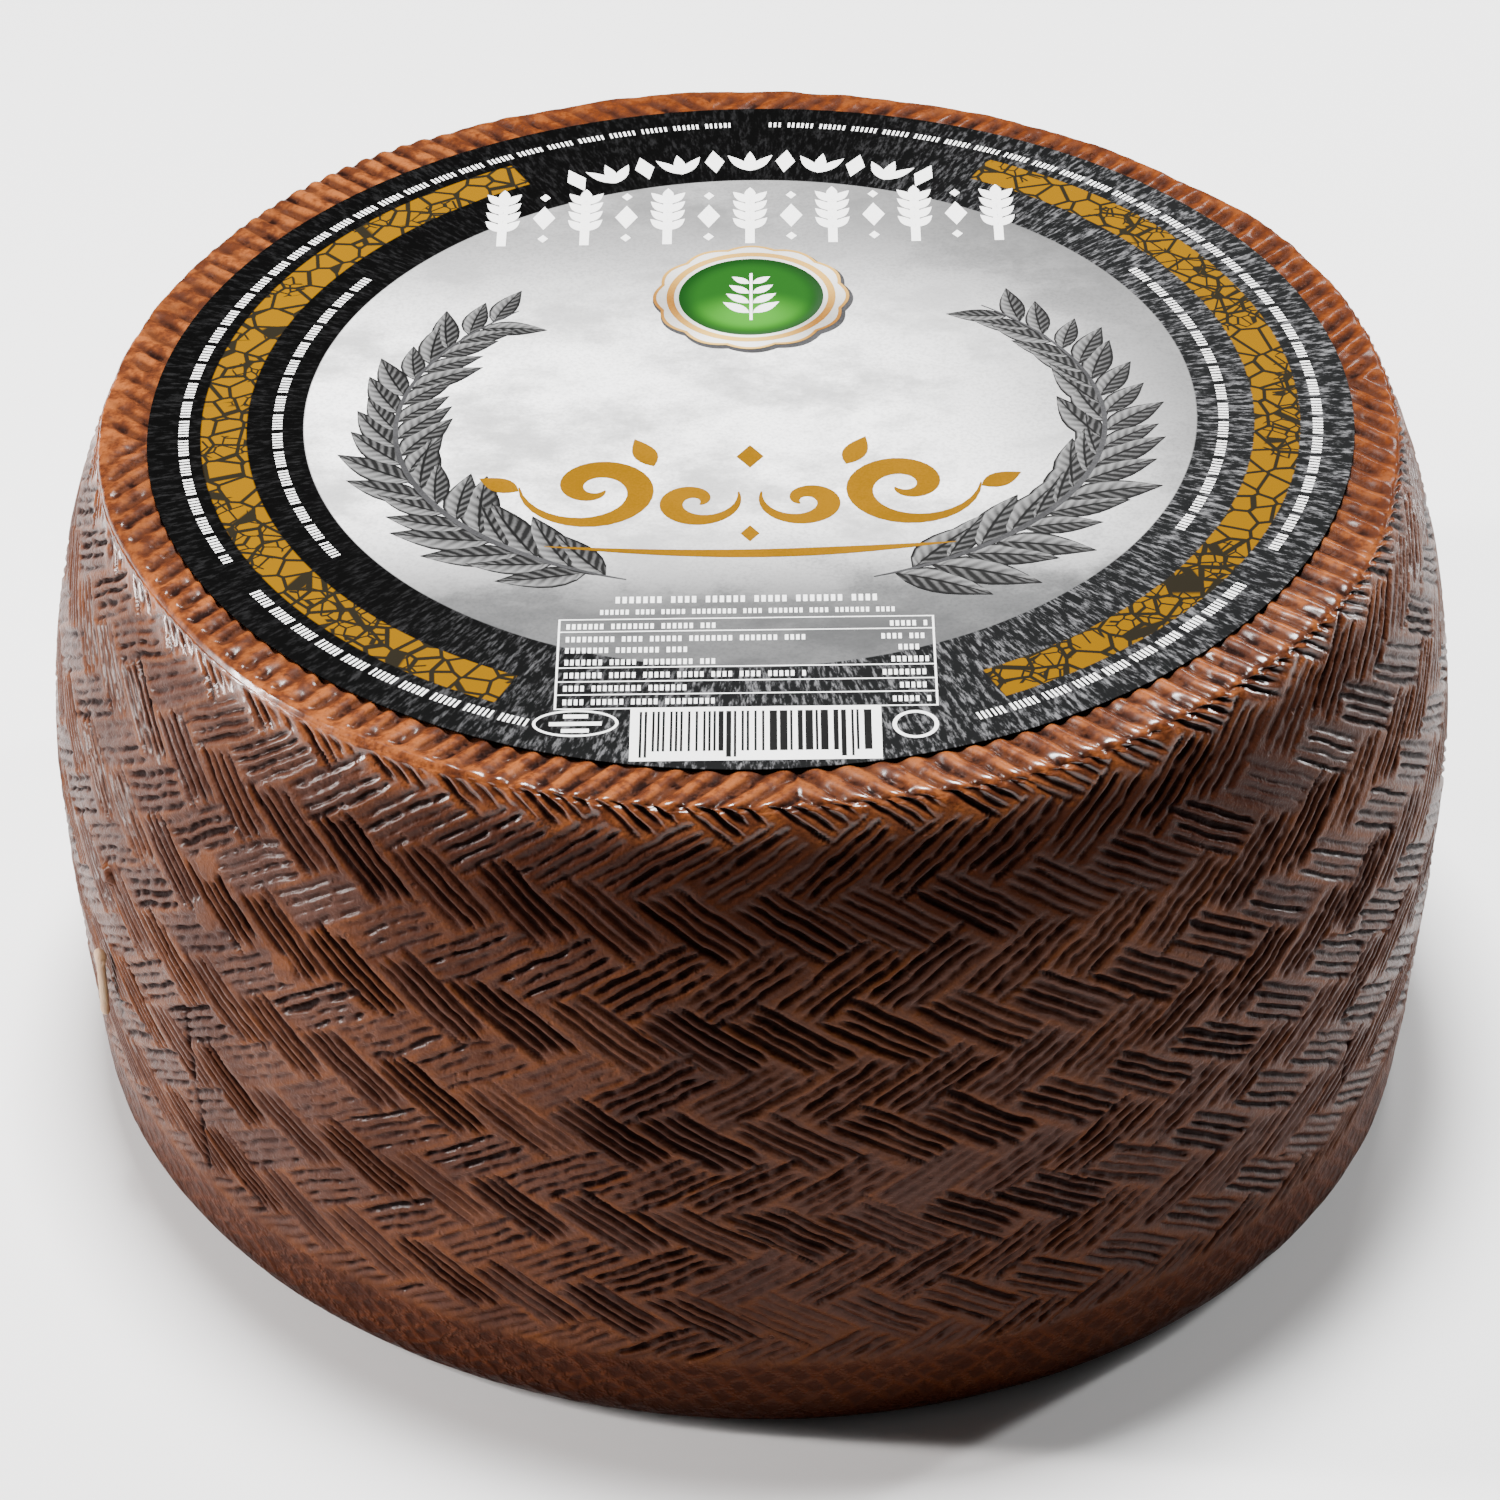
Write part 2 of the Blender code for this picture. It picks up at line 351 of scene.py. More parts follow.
def strokes(tree, along, across, count, waver, family, seed, bundles):
    """The bundles that lean one way. along and across are in cells of the weave along and across the lean,
    count is the strokes in a cell and waver moves them by a share of one. Gives how deep a stroke presses in,
    from 0 to 1, how far a point is inside a bundle, and a tone."""
    line = across.nearest()
    place = ((along + line) / 4).nearest() * 4 - line
    lengthwise = along - place
    crosswise = across - line
    bundle = ((place - line) / 2).wrapped(bundles)
    row = (place + line) / 4
    depth, phase, tone = chances(tree, bundle, row, family, seed)
    width, tilt, fading = chances(tree, bundle, row, family + 2, seed)
    phase = (phase - 0.5) * 0.5
    turned = crosswise + lengthwise * (tilt - 0.5) * 0.06
    counted = turned * count + phase + waver
    stroke = counted.floor()
    beside = abs(counted - stroke - 0.5) * 2
    inside = abs(stroke + 0.5 - phase).below(width * 0.6 + count * 0.5 - 0.4)
    length, shift, strength = chances(tree, bundle * 8 + stroke, row, family + 4, seed)
    reach = 1.32 - length * 0.26 - abs(lengthwise - (shift - 0.5) * 0.3)
    end = reach.rise(0.0, 0.42)
    hollow = (end - (beside * (shift * 0.8 + 1.1)) ** 2.0).at_least(0.0)
    faded = fading.rise(0.02, 0.3) * 0.3 + 0.7
    pressed = hollow * inside * (depth * 0.35 + 0.65) * (strength * 0.5 + 0.55) * faded
    bundle_mask = (1.08 - abs(lengthwise)).rise(0.0, 0.25) * (0.52 - abs(crosswise)).rise(0.0, 0.1)
    return pressed, bundle_mask, tone * bundle_mask


def spot(azimuth, height, at_degrees, at_height, radius):
    """1 inside a round spot on the side, 0 outside it."""
    sideways = (azimuth.wrapped(math.tau) - math.radians(at_degrees) % math.tau) * WAIST_RADIUS
    upwards = height - at_height
    distance = (sideways * sideways + upwards * upwards).root()
    return 1 - distance.rise(radius * 0.8, radius * 1.1)


def upright(azimuth, height, place, at_degrees, low, high, width):
    """1 on a narrow upright line of beads on the side, 0 away from it."""
    wander = (noise(azimuth.tree, place, 6 * MM) - 0.5) * 1.6 * MM
    sideways = (azimuth.wrapped(math.tau) - math.radians(at_degrees) % math.tau) * WAIST_RADIUS + wander
    ends = height.rise(low, low + 3 * MM) * (1 - height.rise(high - 3 * MM, high))
    return (1 - abs(sideways).rise(width * 0.2, width)) * ends


def rind_tree():
    """The tree that wraps a plain sheet round the wheel and presses the braid and the ridges into it."""
    tree = bpy.data.node_groups.new("Pressed rind", "GeometryNodeTree")
    given = tree_inputs(
        tree,
        (
            ("Geometry", "NodeSocketGeometry", None),
            ("Bundles", "NodeSocketFloat", float(BUNDLES)),
            ("Row height", "NodeSocketFloat", ROW_HEIGHT),
            ("Groove depth", "NodeSocketFloat", 0.95 * MM),
            ("Ridge depth", "NodeSocketFloat", 0.7 * MM),
            ("Edge rounding", "NodeSocketFloat", 1.1 * MM),
            ("Seed", "NodeSocketFloat", 4.0),
            ("Material", "NodeSocketMaterial", None),
        ),
    )
    azimuth = stored(tree, "turn")
    drop = stored(tree, "drop")
    softer = (azimuth - math.radians(55)).cos().rise(0.35, 0.95)
    rounding = given["Edge rounding"] * (softer * 1.5 + 1)
    radius, height, inside = profile(tree, drop, rounding)
    place = vector_of(tree, azimuth.sin() * radius, azimuth.cos() * radius * -1, height)

    lipped = (azimuth - LIP_AZIMUTH).cos().rise(0.76, 0.92)
    on_side = (drop - lipped * 1.4 * MM).rise(-0.3 * MM, 1.1 * MM)
    above_seam = (WHEEL_HEIGHT - drop).rise(SEAM_HEIGHT - 1.0 * MM, SEAM_HEIGHT + 2.2 * MM)
    wander_turn, wander_row, _ = noise_vector(tree, place, 24 * MM)
    jitter_turn, jitter_row, _ = noise_vector(tree, place, 5 * MM)
    turns = azimuth * given["Bundles"] / math.tau + BRAID_TURN + wander_turn * 0.16 + jitter_turn * 0.035
    first_row = FIRST_ROW_HEIGHT - WHEEL_HEIGHT
    rows = (drop + first_row) / given["Row height"] + wander_row * 0.2 + jitter_row * 0.05
    falling, rising = rows + turns, rows - turns
    seed, bundles = given["Seed"], given["Bundles"]
    waver = (noise(tree, place, 4.2 * MM, 1.0) - 0.5) * 0.5
    crisp, crisp_mask, crisp_tone = strokes(tree, falling, rising, CRISP_STROKES, waver, 0, seed, bundles)
    soft, soft_mask, soft_tone = strokes(
        tree, rising - 0.5, falling - 1.5, SOFT_STROKES, waver * 1.3, 1, seed, bundles
    )
    beads = noise(tree, place, 1.5 * MM, 1.0)
    crisp = crisp * (beads.rise(0.2, 0.62) * 0.3 + 0.7)
    soft = soft * (beads.rise(0.3, 0.62) * 0.55 + 0.35)
    worn = noise(tree, place, 26 * MM).rise(0.3, 0.44) * 0.3 + 0.7
    pressed = crisp.at_least(soft) * on_side * above_seam * worn
    bundle_mask = (crisp_mask + soft_mask) * on_side * above_seam
    for at_degrees, at_height, size in SMOOTH_SPOTS:
        smooth_spot = spot(azimuth, height, at_degrees, at_height * MM, size * MM)
        pressed = pressed * (1 - smooth_spot)
        bundle_mask = bundle_mask * (1 - smooth_spot * 0.7)
    crease = upright(azimuth, height, place, -50.6, 14.5 * MM, 50 * MM, 0.9 * MM)
    faint_crease = upright(azimuth, height, place, 55.3, 24 * MM, 67 * MM, 0.8 * MM)
    crease = (crease + faint_crease * 0.6) * (beads.rise(0.35, 0.6) * 0.6 + 0.4)

    from_middle = (azimuth - JOIN_AZIMUTH).wrapped(QUARTER_TURN) - HALF_QUARTER
    wobble = (noise(tree, place, 6 * MM) - 0.5) * 0.4
    ridge = (TOP_RADIUS - inside) * from_middle.sin() / (2 * RIDGE_SPACING) + wobble
    groove = ((ridge * math.tau).cos() * 0.5 + 0.5) ** 1.25
    ridge_wear = noise(tree, place, 4.5 * MM).rise(0.25, 0.6) * 0.65 + 0.35
    waxed_over = (azimuth - POOLED_AZIMUTH).cos().rise(0.1, 0.5)
    near_edge = 1 - inside.rise(0.3 * MM, 4.2 * MM)
    waxed_over = waxed_over.at_least((azimuth - FLANK_AZIMUTH).cos().rise(0.88, 0.97) * 0.8)
    lip = (1 - inside.rise(0.5 * MM, 2.6 * MM)) * lipped
    groove = groove * ridge_wear * (1 - waxed_over * (near_edge * 0.85 + 0.1)) * (1 - lip * 0.9)
    on_top = 1 - drop.rise(-0.4 * MM, 1.3 * MM)
    scallop = (1 - drop.rise(0.3 * MM, 3.6 * MM)) * drop.rise(-1.6 * MM, 0.2 * MM) * (1 - waxed_over * 0.8)
    scallop = scallop * (azimuth.cos().rise(0.2, 0.8) * 0.7 + 0.3) * (1 - lipped * 0.9)
    under_label = 1 - inside.rise(7.6 * MM, 8.2 * MM)

    seam_wobble = (noise(tree, place, 9 * MM) - 0.5) * 0.8 * MM
    seam = 1 - abs(height - SEAM_HEIGHT + seam_wobble).rise(0.1 * MM, 0.8 * MM)
    seam = seam * noise(tree, place, 14 * MM).rise(0.38, 0.6)
    pooled = waxed_over * (1 - drop.rise(2 * MM, 14 * MM)) * 1.8 + 1
    lumps = noise(tree, place, 10 * MM, 4.0) * 0.5 * MM * pooled
    side_in = pressed * given["Groove depth"] + bundle_mask * 0.1 * MM + crease * 0.5 * MM
    side_in = side_in + groove * scallop * EDGE_SCALLOP + lumps - seam * 0.12 * MM
    nodule = spot(azimuth, height, -62.7, 57.7 * MM, 1.5 * MM)
    side_in = side_in * (1 - nodule) - nodule * 0.45 * MM
    top_in = groove * on_top * given["Ridge depth"] + lumps * on_top * 0.6
    top_in = top_in * under_label + (1 - under_label) * given["Ridge depth"]

    bulge = unevenness(azimuth, height) * (1 - inside / (TOP_RADIUS - SEAT_RADIUS)).at_least(0.0)
    out = radius + bulge - side_in * drop.rise(-2 * MM, 0.5 * MM)
    x = azimuth.sin() * out
    y = azimuth.cos() * out * -1
    z = height - top_in + lift(x, y, height / WHEEL_HEIGHT)
    inputs = {"Geometry": given["Geometry"], "Position": vector_of(tree, x, y, z)}
    geometry = made_by(tree, "GeometryNodeSetPosition", "Geometry", inputs)
    values = (
        (pressed + crease * 0.5) * (1 - nodule),
        groove * on_top,
        bundle_mask,
        crisp_tone + soft_tone,
        height,
    )
    for name, value in zip(CARRIED, values):
        geometry = keep(tree, geometry, name, value)
    finish_tree(tree, geometry, given["Material"])
    return tree


def sheet_drops():
    """Where the sheet's rows lie along the wheel's outline, from under the label to the floor."""
    rim = np.arange(-SHEET_INSIDE, -EDGE_START, RIM_STEP)
    edge = np.arange(-EDGE_START, SIDE_START, EDGE_STEP)
    side = np.arange(SIDE_START, WHEEL_HEIGHT - SEAM_HEIGHT, SIDE_STEP)
    band = np.arange(side[-1] + FOOT_STEP, WHEEL_HEIGHT - FOOT_HEIGHT, FOOT_STEP)
    angles = np.arange(FOOT_TURNS + 1) * (math.pi / 2 / FOOT_TURNS)
    foot = WHEEL_HEIGHT - FOOT_HEIGHT * (1 - np.sin(angles))
    side_start = len(rim) + len(edge)
    return np.concatenate([rim, edge, side, band, foot]), side_start, side_start + len(side)


def mesh_from(name, points, triangles):
    """A smooth mesh from arrays of points and triangles."""
    mesh = bpy.data.meshes.new(name)
    mesh.vertices.add(len(points))
    mesh.vertices.foreach_set("co", np.asarray(points, np.float32).ravel())
    mesh.loops.add(3 * len(triangles))
    mesh.loops.foreach_set("vertex_index", np.asarray(triangles, np.int32).ravel())
    mesh.polygons.add(len(triangles))
    mesh.polygons.foreach_set("loop_start", np.arange(0, 3 * len(triangles), 3, dtype=np.int32))
    mesh.update(calc_edges=True)
    mesh.shade_smooth()
    return mesh


def write_attribute(mesh, name, values):
    """Gives each point of a mesh a number under a name."""
    attribute = mesh.attributes.new(name, "FLOAT", "POINT")
    attribute.data.foreach_set("value", np.asarray(values, np.float32))


def read_attribute(mesh, name):
    """The numbers that a mesh's points carry under a name."""
    values = np.zeros(len(mesh.vertices), np.float32)
    mesh.attributes[name].data.foreach_get("value", values)
    return values


def sheet_triangles(drops):
    """The sheet's triangles, each square cut along the lean of its row, as (rows, columns, two, three)."""
    row, column = np.meshgrid(np.arange(len(drops) - 1), np.arange(COLUMNS), indexing="ij")
    after = (column + 1) % COLUMNS
    upper_left, upper_right = row * COLUMNS + column, row * COLUMNS + after
    lower_left, lower_right = upper_left + COLUMNS, upper_right + COLUMNS
    falling = np.stack(
        [
            np.stack([upper_left, lower_left, lower_right], -1),
            np.stack([upper_left, lower_right, upper_right], -1),
        ],
        2,
    )
    rising = np.stack(
        [
            np.stack([upper_left, lower_left, upper_right], -1),
            np.stack([upper_right, lower_left, lower_right], -1),
        ],
        2,
    )
    braid_row = np.round((drops[:-1] + FIRST_ROW_HEIGHT - WHEEL_HEIGHT) / ROW_HEIGHT)
    leans_down = (braid_row % 2 == 0)[:, None, None, None]
    return np.where(leans_down, falling, rising)


def evaluated_mesh(made):
    """The result of an object's modifiers as a plain mesh. The object is then removed."""
    bpy.context.view_layer.update()
    graph = bpy.context.evaluated_depsgraph_get()
    mesh = bpy.data.meshes.new_from_object(made.evaluated_get(graph))
    bpy.data.objects.remove(made)
    return mesh


def with_tree(made, tree, values):
    """Adds a geometry tree to an object, with its named inputs given."""
    modifier = made.modifiers.new(tree.name, "NODES")
    modifier.node_group = tree
    for item in tree.interface.items_tree:
        if item.item_type == "SOCKET" and item.in_out == "INPUT" and item.name in values:
            modifier[item.identifier] = values[item.name]


def link_object(name, mesh):
    """A new object of the scene."""
    made = bpy.data.objects.new(name, mesh)
    bpy.context.scene.collection.objects.link(made)
    return made


def wear_part(made, node):
    """Makes a piece ride on the wheel and stand for its CAD node, whose own mesh it hides."""
    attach(made, "root")
    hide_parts(node)


def cut_piece(name, whole, points, normals, triangles):
    """A piece of the whole rind, with the whole's own normals so that no join shows."""
    triangles = triangles.reshape(-1, 3)
    used, index = np.unique(triangles, return_inverse=True)
    mesh = mesh_from(name, points[used], index.reshape(-1, 3))
    for attribute in CARRIED:
        write_attribute(mesh, attribute, whole[attribute][used])
    mesh.normals_split_custom_set_from_vertices(normals[used].tolist())
    return mesh


def make_rind(settings):
    """The whole rind from one sheet, cut into the ridged rim, four quarters of the side, and the foot."""
    drops, side_start, band_start = sheet_drops()
    turns = np.arange(COLUMNS) * (math.tau / COLUMNS)
    triangles = sheet_triangles(drops)
    flat = np.zeros((len(drops) * COLUMNS, 3))
    sheet = mesh_from("sheet", flat, triangles.reshape(-1, 3))
    write_attribute(sheet, "turn", np.tile(turns, len(drops)))
    write_attribute(sheet, "drop", np.repeat(drops, COLUMNS))
    material = rind_material(settings)
    made = link_object("sheet", sheet)
    values = {
        "Row height": settings.row_height,
        "Groove depth": settings.groove_depth,
        "Ridge depth": settings.ridge_depth,
        "Edge rounding": settings.edge_rounding,
        "Seed": float(settings.seed),
        "Material": material,
    }
    with_tree(made, rind_tree(), values)
    result = evaluated_mesh(made)
    count = len(result.vertices)
    points, normals = np.zeros(count * 3, np.float32), np.zeros(count * 3, np.float32)
    result.vertices.foreach_get("co", points)
    result.vertex_normals.foreach_get("vector", normals)
    points, normals = points.reshape(-1, 3), normals.reshape(-1, 3)
    whole = {name: read_attribute(result, name) for name in CARRIED}
    bpy.data.meshes.remove(result)

    around = np.arange(COLUMNS)
    cap = np.stack([np.full(COLUMNS, count), around, (around + 1) % COLUMNS], -1)
    points = np.vstack([points, [0.0, 0.0, WHEEL_HEIGHT - settings.ridge_depth]])
    normals = np.vstack([normals, [0.0, 0.0, 1.0]])
    whole = {name: np.append(values, values[0]) for name, values in whole.items()}
    rim = np.concatenate([cap, triangles[:side_start].reshape(-1, 3)])
    cuts = {"rim": rim, "foot": triangles[band_start:]}
    quarter = COLUMNS // len(SIDE_PIECES)
    for i, name in enumerate(SIDE_PIECES):
        columns = (np.arange(quarter) + i * quarter - quarter // 2) % COLUMNS
        cuts[name] = triangles[side_start:band_start, columns]
    for name, cut in cuts.items():
        mesh = cut_piece(name, whole, points, normals, cut)
        mesh.materials.append(material)
        wear_part(link_object(name, mesh), "cheese")
    return material, points[-COLUMNS - 1 : -1]


def solid_colour(colour):
    """A colour with full cover. A field is left as it is."""
    return colour if isinstance(colour, Field) else (*colour[:3], 1.0)


def colour_mix(tree, share, first, second):
    """A mix of two colours by a share from 0 to 1."""
    node = tree.nodes.new("ShaderNodeMix")
    node.data_type = "RGBA"
    for name, value in (("Factor", share), ("A", solid_colour(first)), ("B", solid_colour(second))):
        socket = next(s for s in node.inputs if s.name == name and s.enabled)
        feed(tree, socket, value)
    return Field(tree, next(s for s in node.outputs if s.enabled))


def grain_group():
    """A shader node group: fine grain, slow patches and pits, each as a value from 0 to 1."""
    tree = bpy.data.node_groups.new("Grain", "ShaderNodeTree")
    given = tree_inputs(
        tree,
        (
            ("Place", "NodeSocketVector", None),
            ("Grain size", "NodeSocketFloat", 0.5 * MM),
            ("Patch size", "NodeSocketFloat", 12 * MM),
            ("Pit size", "NodeSocketFloat", 1.2 * MM),
        ),
    )
    for name in ("Grain", "Patches", "Pits"):
        tree.interface.new_socket(name, in_out="OUTPUT", socket_type="NodeSocketFloat")
    output = tree.nodes.new("NodeGroupOutput")
    grain = noise(tree, given["Place"], 1.0, 3.0)
    patches = noise(tree, given["Place"], 1.0, 3.0)
    for found, name in ((grain, "Grain size"), (patches, "Patch size")):
        feed(tree, found.socket.node.inputs["Scale"], work_out(tree, "DIVIDE", 1.0, given[name]))
    cells = add_node(tree, "ShaderNodeTexVoronoi", {"Vector": given["Place"]})
    feed(tree, cells.inputs["Scale"], work_out(tree, "DIVIDE", 1.0, given["Pit size"]))
    near = 1 - Field(tree, cells.outputs["Distance"]).rise(0.12, 0.3)
    chosen = parts_of(tree, Field(tree, cells.outputs["Color"]))[0].rise(0.78, 0.8)
    for name, value in (("Grain", grain), ("Patches", patches), ("Pits", near * chosen)):
        feed(tree, output.inputs[name], value)
    return tree


def new_material(name):
    """A new material, with its tree, its shader and the object's own coordinates."""
    material = bpy.data.materials.new(name)
    material.use_nodes = True
    tree = material.node_tree
    coordinates = tree.nodes.new("ShaderNodeTexCoord")
    return material, tree, tree.nodes["Principled BSDF"], Field(tree, coordinates.outputs["Object"])


def carried(tree, name):
    """An attribute that the mesh carries, in a shader tree."""
    node = tree.nodes.new("ShaderNodeAttribute")
    node.attribute_name = name
    return Field(tree, node.outputs["Fac"])


def grain(tree, place, grain_size, patch_size, pit_size):
    """Places the shared grain group in a material, and gives its grain, patches and pits."""
    node = tree.nodes.new("ShaderNodeGroup")
    node.node_tree = bpy.data.node_groups.get("Grain") or grain_group()
    values = {"Place": place, "Grain size": grain_size, "Patch size": patch_size, "Pit size": pit_size}
    for name, value in values.items():
        feed(tree, node.inputs[name], value)
    return [Field(tree, node.outputs[name]) for name in ("Grain", "Patches", "Pits")]


def bump(tree, shader, height, distance, strength=1.0):
    """Feeds a height through a Bump node to the shader's normal."""
    node = add_node(tree, "ShaderNodeBump", {"Height": height, "Distance": distance, "Strength": strength})
    tree.links.new(node.outputs["Normal"], shader.inputs["Normal"])


def paint(tree, shader, colour, roughness, **constants):
    """Feeds the shader its colour and roughness. What is the same all over is set on its own sockets."""
    feed(tree, shader.inputs["Base Color"], colour)
    feed(tree, shader.inputs["Roughness"], roughness)
    for name, value in constants.items():
        shader.inputs[SOCKETS[name]].default_value = value


def rind_material(settings):
    """The waxed rind: brown, darker in the print with painted shade in its strokes, oranger and glossier at
    the rim, woven at the foot, with painted shade under the rim at the front, at the lower right and near the
    floor.
    """
    material, tree, shader, place = new_material("Waxed rind")
    pressed, groove, bundle, tone, height = [carried(tree, name) for name in CARRIED]
    x, y, _ = parts_of(tree, place)
    azimuth = work_out(tree, "ARCTAN2", x, y * -1)
    fine, patches, pits = grain(tree, place, 0.45 * MM, 16 * MM, 1.6 * MM)
    mottling = noise(tree, place, 3.2 * MM, 3.0, 0.66)
    rim_share = height.rise(WHEEL_HEIGHT - 7 * MM, WHEEL_HEIGHT - 0.3 * MM)
    at_back = (azimuth - POOLED_AZIMUTH).cos().rise(0.1, 0.6)
    foot = 1 - height.rise(SEAM_HEIGHT - 2 * MM, SEAM_HEIGHT + 1 * MM)
    body = colour_mix(tree, rim_share, settings.web_colour, settings.rim_colour)
    in_bundle = bundle * (1 - rim_share * 0.6) * (tone * 0.45 + 0.5)
    in_bundle = in_bundle.at_least(foot * 0.8)
    body = colour_mix(tree, in_bundle, body, settings.body_colour)
    deeper = (mottling.rise(0.36, 0.6) * 0.7 + foot * 0.25 + at_back * 0.7) * rim_share.at_least(foot)
    body = colour_mix(tree, deeper.at_most(1.0), body, settings.deep_colour)
    blotches = mottling.rise(0.42, 0.66) * (rim_share * 0.25 + 0.5)
    body = colour_mix(tree, blotches, body, settings.purple_colour)
    # Painted shade: darker under the rim towards the front, at the lower right, and nearly black near the
    # floor; the random patches and the foot add darker wax
    shade_under_rim = height.rise(78 * MM, 88 * MM) * (1 - height.rise(97 * MM, 101 * MM))
    shade_under_rim = shade_under_rim * (azimuth - math.radians(14)).cos().rise(0.3, 0.95)
    shade_low_right = (azimuth - math.radians(48)).cos().rise(0.35, 0.95) * (1 - height.rise(30 * MM, 95 * MM))
    shade_near_floor = (1 - (height + (patches - 0.5) * 8 * MM).rise(3 * MM, 10 * MM)) * 0.97
    dark = (shade_under_rim * 0.8).at_least(shade_low_right * 0.5).at_least(shade_near_floor).at_least(foot * 0.45)
    dark = dark.at_least(patches.rise(0.45, 0.68) * (0.5 - rim_share * 0.15 + foot * 0.3))
    body = colour_mix(tree, dark, body, settings.dark_wax_and_shade_colour)
    body = colour_mix(tree, fine.rise(0.5, 0.75) * 0.3, body, settings.dark_wax_and_shade_colour)
    body = colour_mix(tree, groove.rise(0.08, 0.6) * 0.85, body, settings.purple_colour)
    # Darker wax in the strokes and grooves, with painted shade in the strokes: the deeper a point is pressed,
    # the darker
    body = colour_mix(tree, pressed.rise(0.1, 0.36) * 0.8, body, settings.dark_wax_and_shade_colour)
    specks = (groove.rise(0.4, 0.9) * mottling.rise(0.45, 0.6)).at_least(pressed.rise(0.26, 0.56))
    sunk = specks.at_most(1.0)
    body = colour_mix(tree, sunk, body, settings.groove_wax_and_shade_colour)
    rough = settings.roughness + (fine - 0.5) * 0.25 + (patches - 0.5) * 0.3 + sunk * 0.15
    waxed = (1 - sunk * 0.97) * (mottling.rise(0.3, 0.6) * 0.5 + 0.5) * settings.gloss
    beside = abs(azimuth.sin()).rise(0.3, 0.95) * 0.1 + 0.4
    on_rim = (azimuth + math.radians(35)).cos().rise(-0.3, 0.3) * 3.3 + 0.6
    shining = beside + (on_rim - beside) * rim_share
    waxed = waxed * shining * (1 - groove.rise(0.1, 0.6) * 0.8) * (1 - shade_near_floor * 0.8)
    feed(tree, shader.inputs["Coat Weight"], waxed)
    cloth = weave(tree, azimuth, height)
    body = colour_mix(tree, (1 - cloth.rise(0.35, 0.75)) * foot * 0.75, body, settings.dark_wax_and_shade_colour)
    tint = (1.0, 0.93, 0.88, 1.0)
    paint(tree, shader, body, rough.at_least(0.15), ior=1.08, coat_roughness=0.2, coat_tint=tint)
    cloth = cloth * mottling.rise(0.35, 0.55) * 1.5
    relief = fine * 0.5 - pits * 0.5 + mottling * 1.1 + cloth * foot
    bump(tree, shader, relief, 0.3 * MM)
    return material


def weave(tree, azimuth, height):
    """The print of a cloth: short raised threads that lean one way, broken by the threads that cross them."""
    place = vector_of(tree, azimuth.sin() * WAIST_RADIUS, azimuth.cos() * WAIST_RADIUS, height)
    pulled, lifted, _ = noise_vector(tree, place, 9 * MM)
    along = azimuth * (WAIST_RADIUS / (4.4 * MM)) + height / (4.6 * MM) + pulled * 1.2
    across = azimuth * (WAIST_RADIUS / (5.2 * MM)) - height / (3.4 * MM) + lifted * 1.2
    threads = abs((along * math.pi).sin()) ** 3.0
    crossing = abs((across * math.pi).sin()) ** 3.0
    return threads.at_least(crossing * 0.8)


def wedge_points(radius, rows, columns):
    """The points of one quarter of a disc, with straight rows along the quarter's own middle line."""
    half_width = radius * math.sin(HALF_QUARTER)
    across = np.linspace(-half_width, half_width, rows)[:, None]
    share = np.linspace(0, 1, columns)[None, :]
    near = np.abs(across)
    far = np.sqrt(np.maximum(radius * radius - across * across, near * near))
    return near + (far - near) * share, np.broadcast_to(across, (rows, columns))


def paper_height(x, y, above):
    """The height of a point on the label, a little above the plane of the ridges' crests."""
    return WHEEL_HEIGHT + lift(x, y) + above


def make_label_paper(settings):
    """The paper: a thin disc with a rounded edge, flat on the crests of the ridges."""
    rings = (
        (0.0, PAPER_TOP),
        (LABEL_RADIUS * 0.5, PAPER_TOP),
        (LABEL_RADIUS - 0.1 * MM, PAPER_TOP),
        (LABEL_RADIUS - 0.03 * MM, PAPER_TOP - 0.03 * MM),
        (LABEL_RADIUS, PAPER_TOP - 0.08 * MM),
        (LABEL_RADIUS - 0.03 * MM, PAPER_BOTTOM),
        (0.0, PAPER_BOTTOM),
    )
    made = turned_disc("label_paper", rings, 256)
    made.data.materials.append(label_material(settings))
    wear_part(made, "label")


def closed_mesh(name, bm):
    """A mesh from closed shapes, with their faces turned outwards."""
    bmesh.ops.recalc_face_normals(bm, faces=bm.faces)
    mesh = bpy.data.meshes.new(name)
    bm.to_mesh(mesh)
    bm.free()
    return mesh


def turned_disc(name, rings, sides, centre=(0.0, 0.0)):
    """A closed disc from rings of a radius and a height over the crests, the first and last at its middle."""
    bm = bmesh.new()
    lines = []
    for radius, above in rings:
        steps = 1 if radius == 0 else sides
        line = []
        for i in range(steps):
            angle = math.tau * i / sides
            x = centre[0] + radius * math.cos(angle)
            y = centre[1] + radius * math.sin(angle)
            line.append(bm.verts.new((x, y, paper_height(x, y, above))))
        lines.append(line)
    for inner, outer in zip(lines, lines[1:]):
        for i in range(sides):
            after = (i + 1) % sides
            corners = [inner[i % len(inner)], outer[i % len(outer)], outer[after % len(outer)]]
            corners.append(inner[after % len(inner)])
            bm.faces.new(list(dict.fromkeys(corners)))
    mesh = closed_mesh(name, bm)
    mesh.shade_smooth()
    mesh.set_sharp_from_angle(angle=math.radians(40))
    return link_object(name, mesh)


def cell_edges(tree, place, size):
    """The distance from the edge of the nearest cell of a pattern of random cells."""
    inputs = {"Vector": place, "Scale": 1 / size}
    return made_by(tree, "ShaderNodeTexVoronoi", "Distance", inputs, feature="DISTANCE_TO_EDGE")


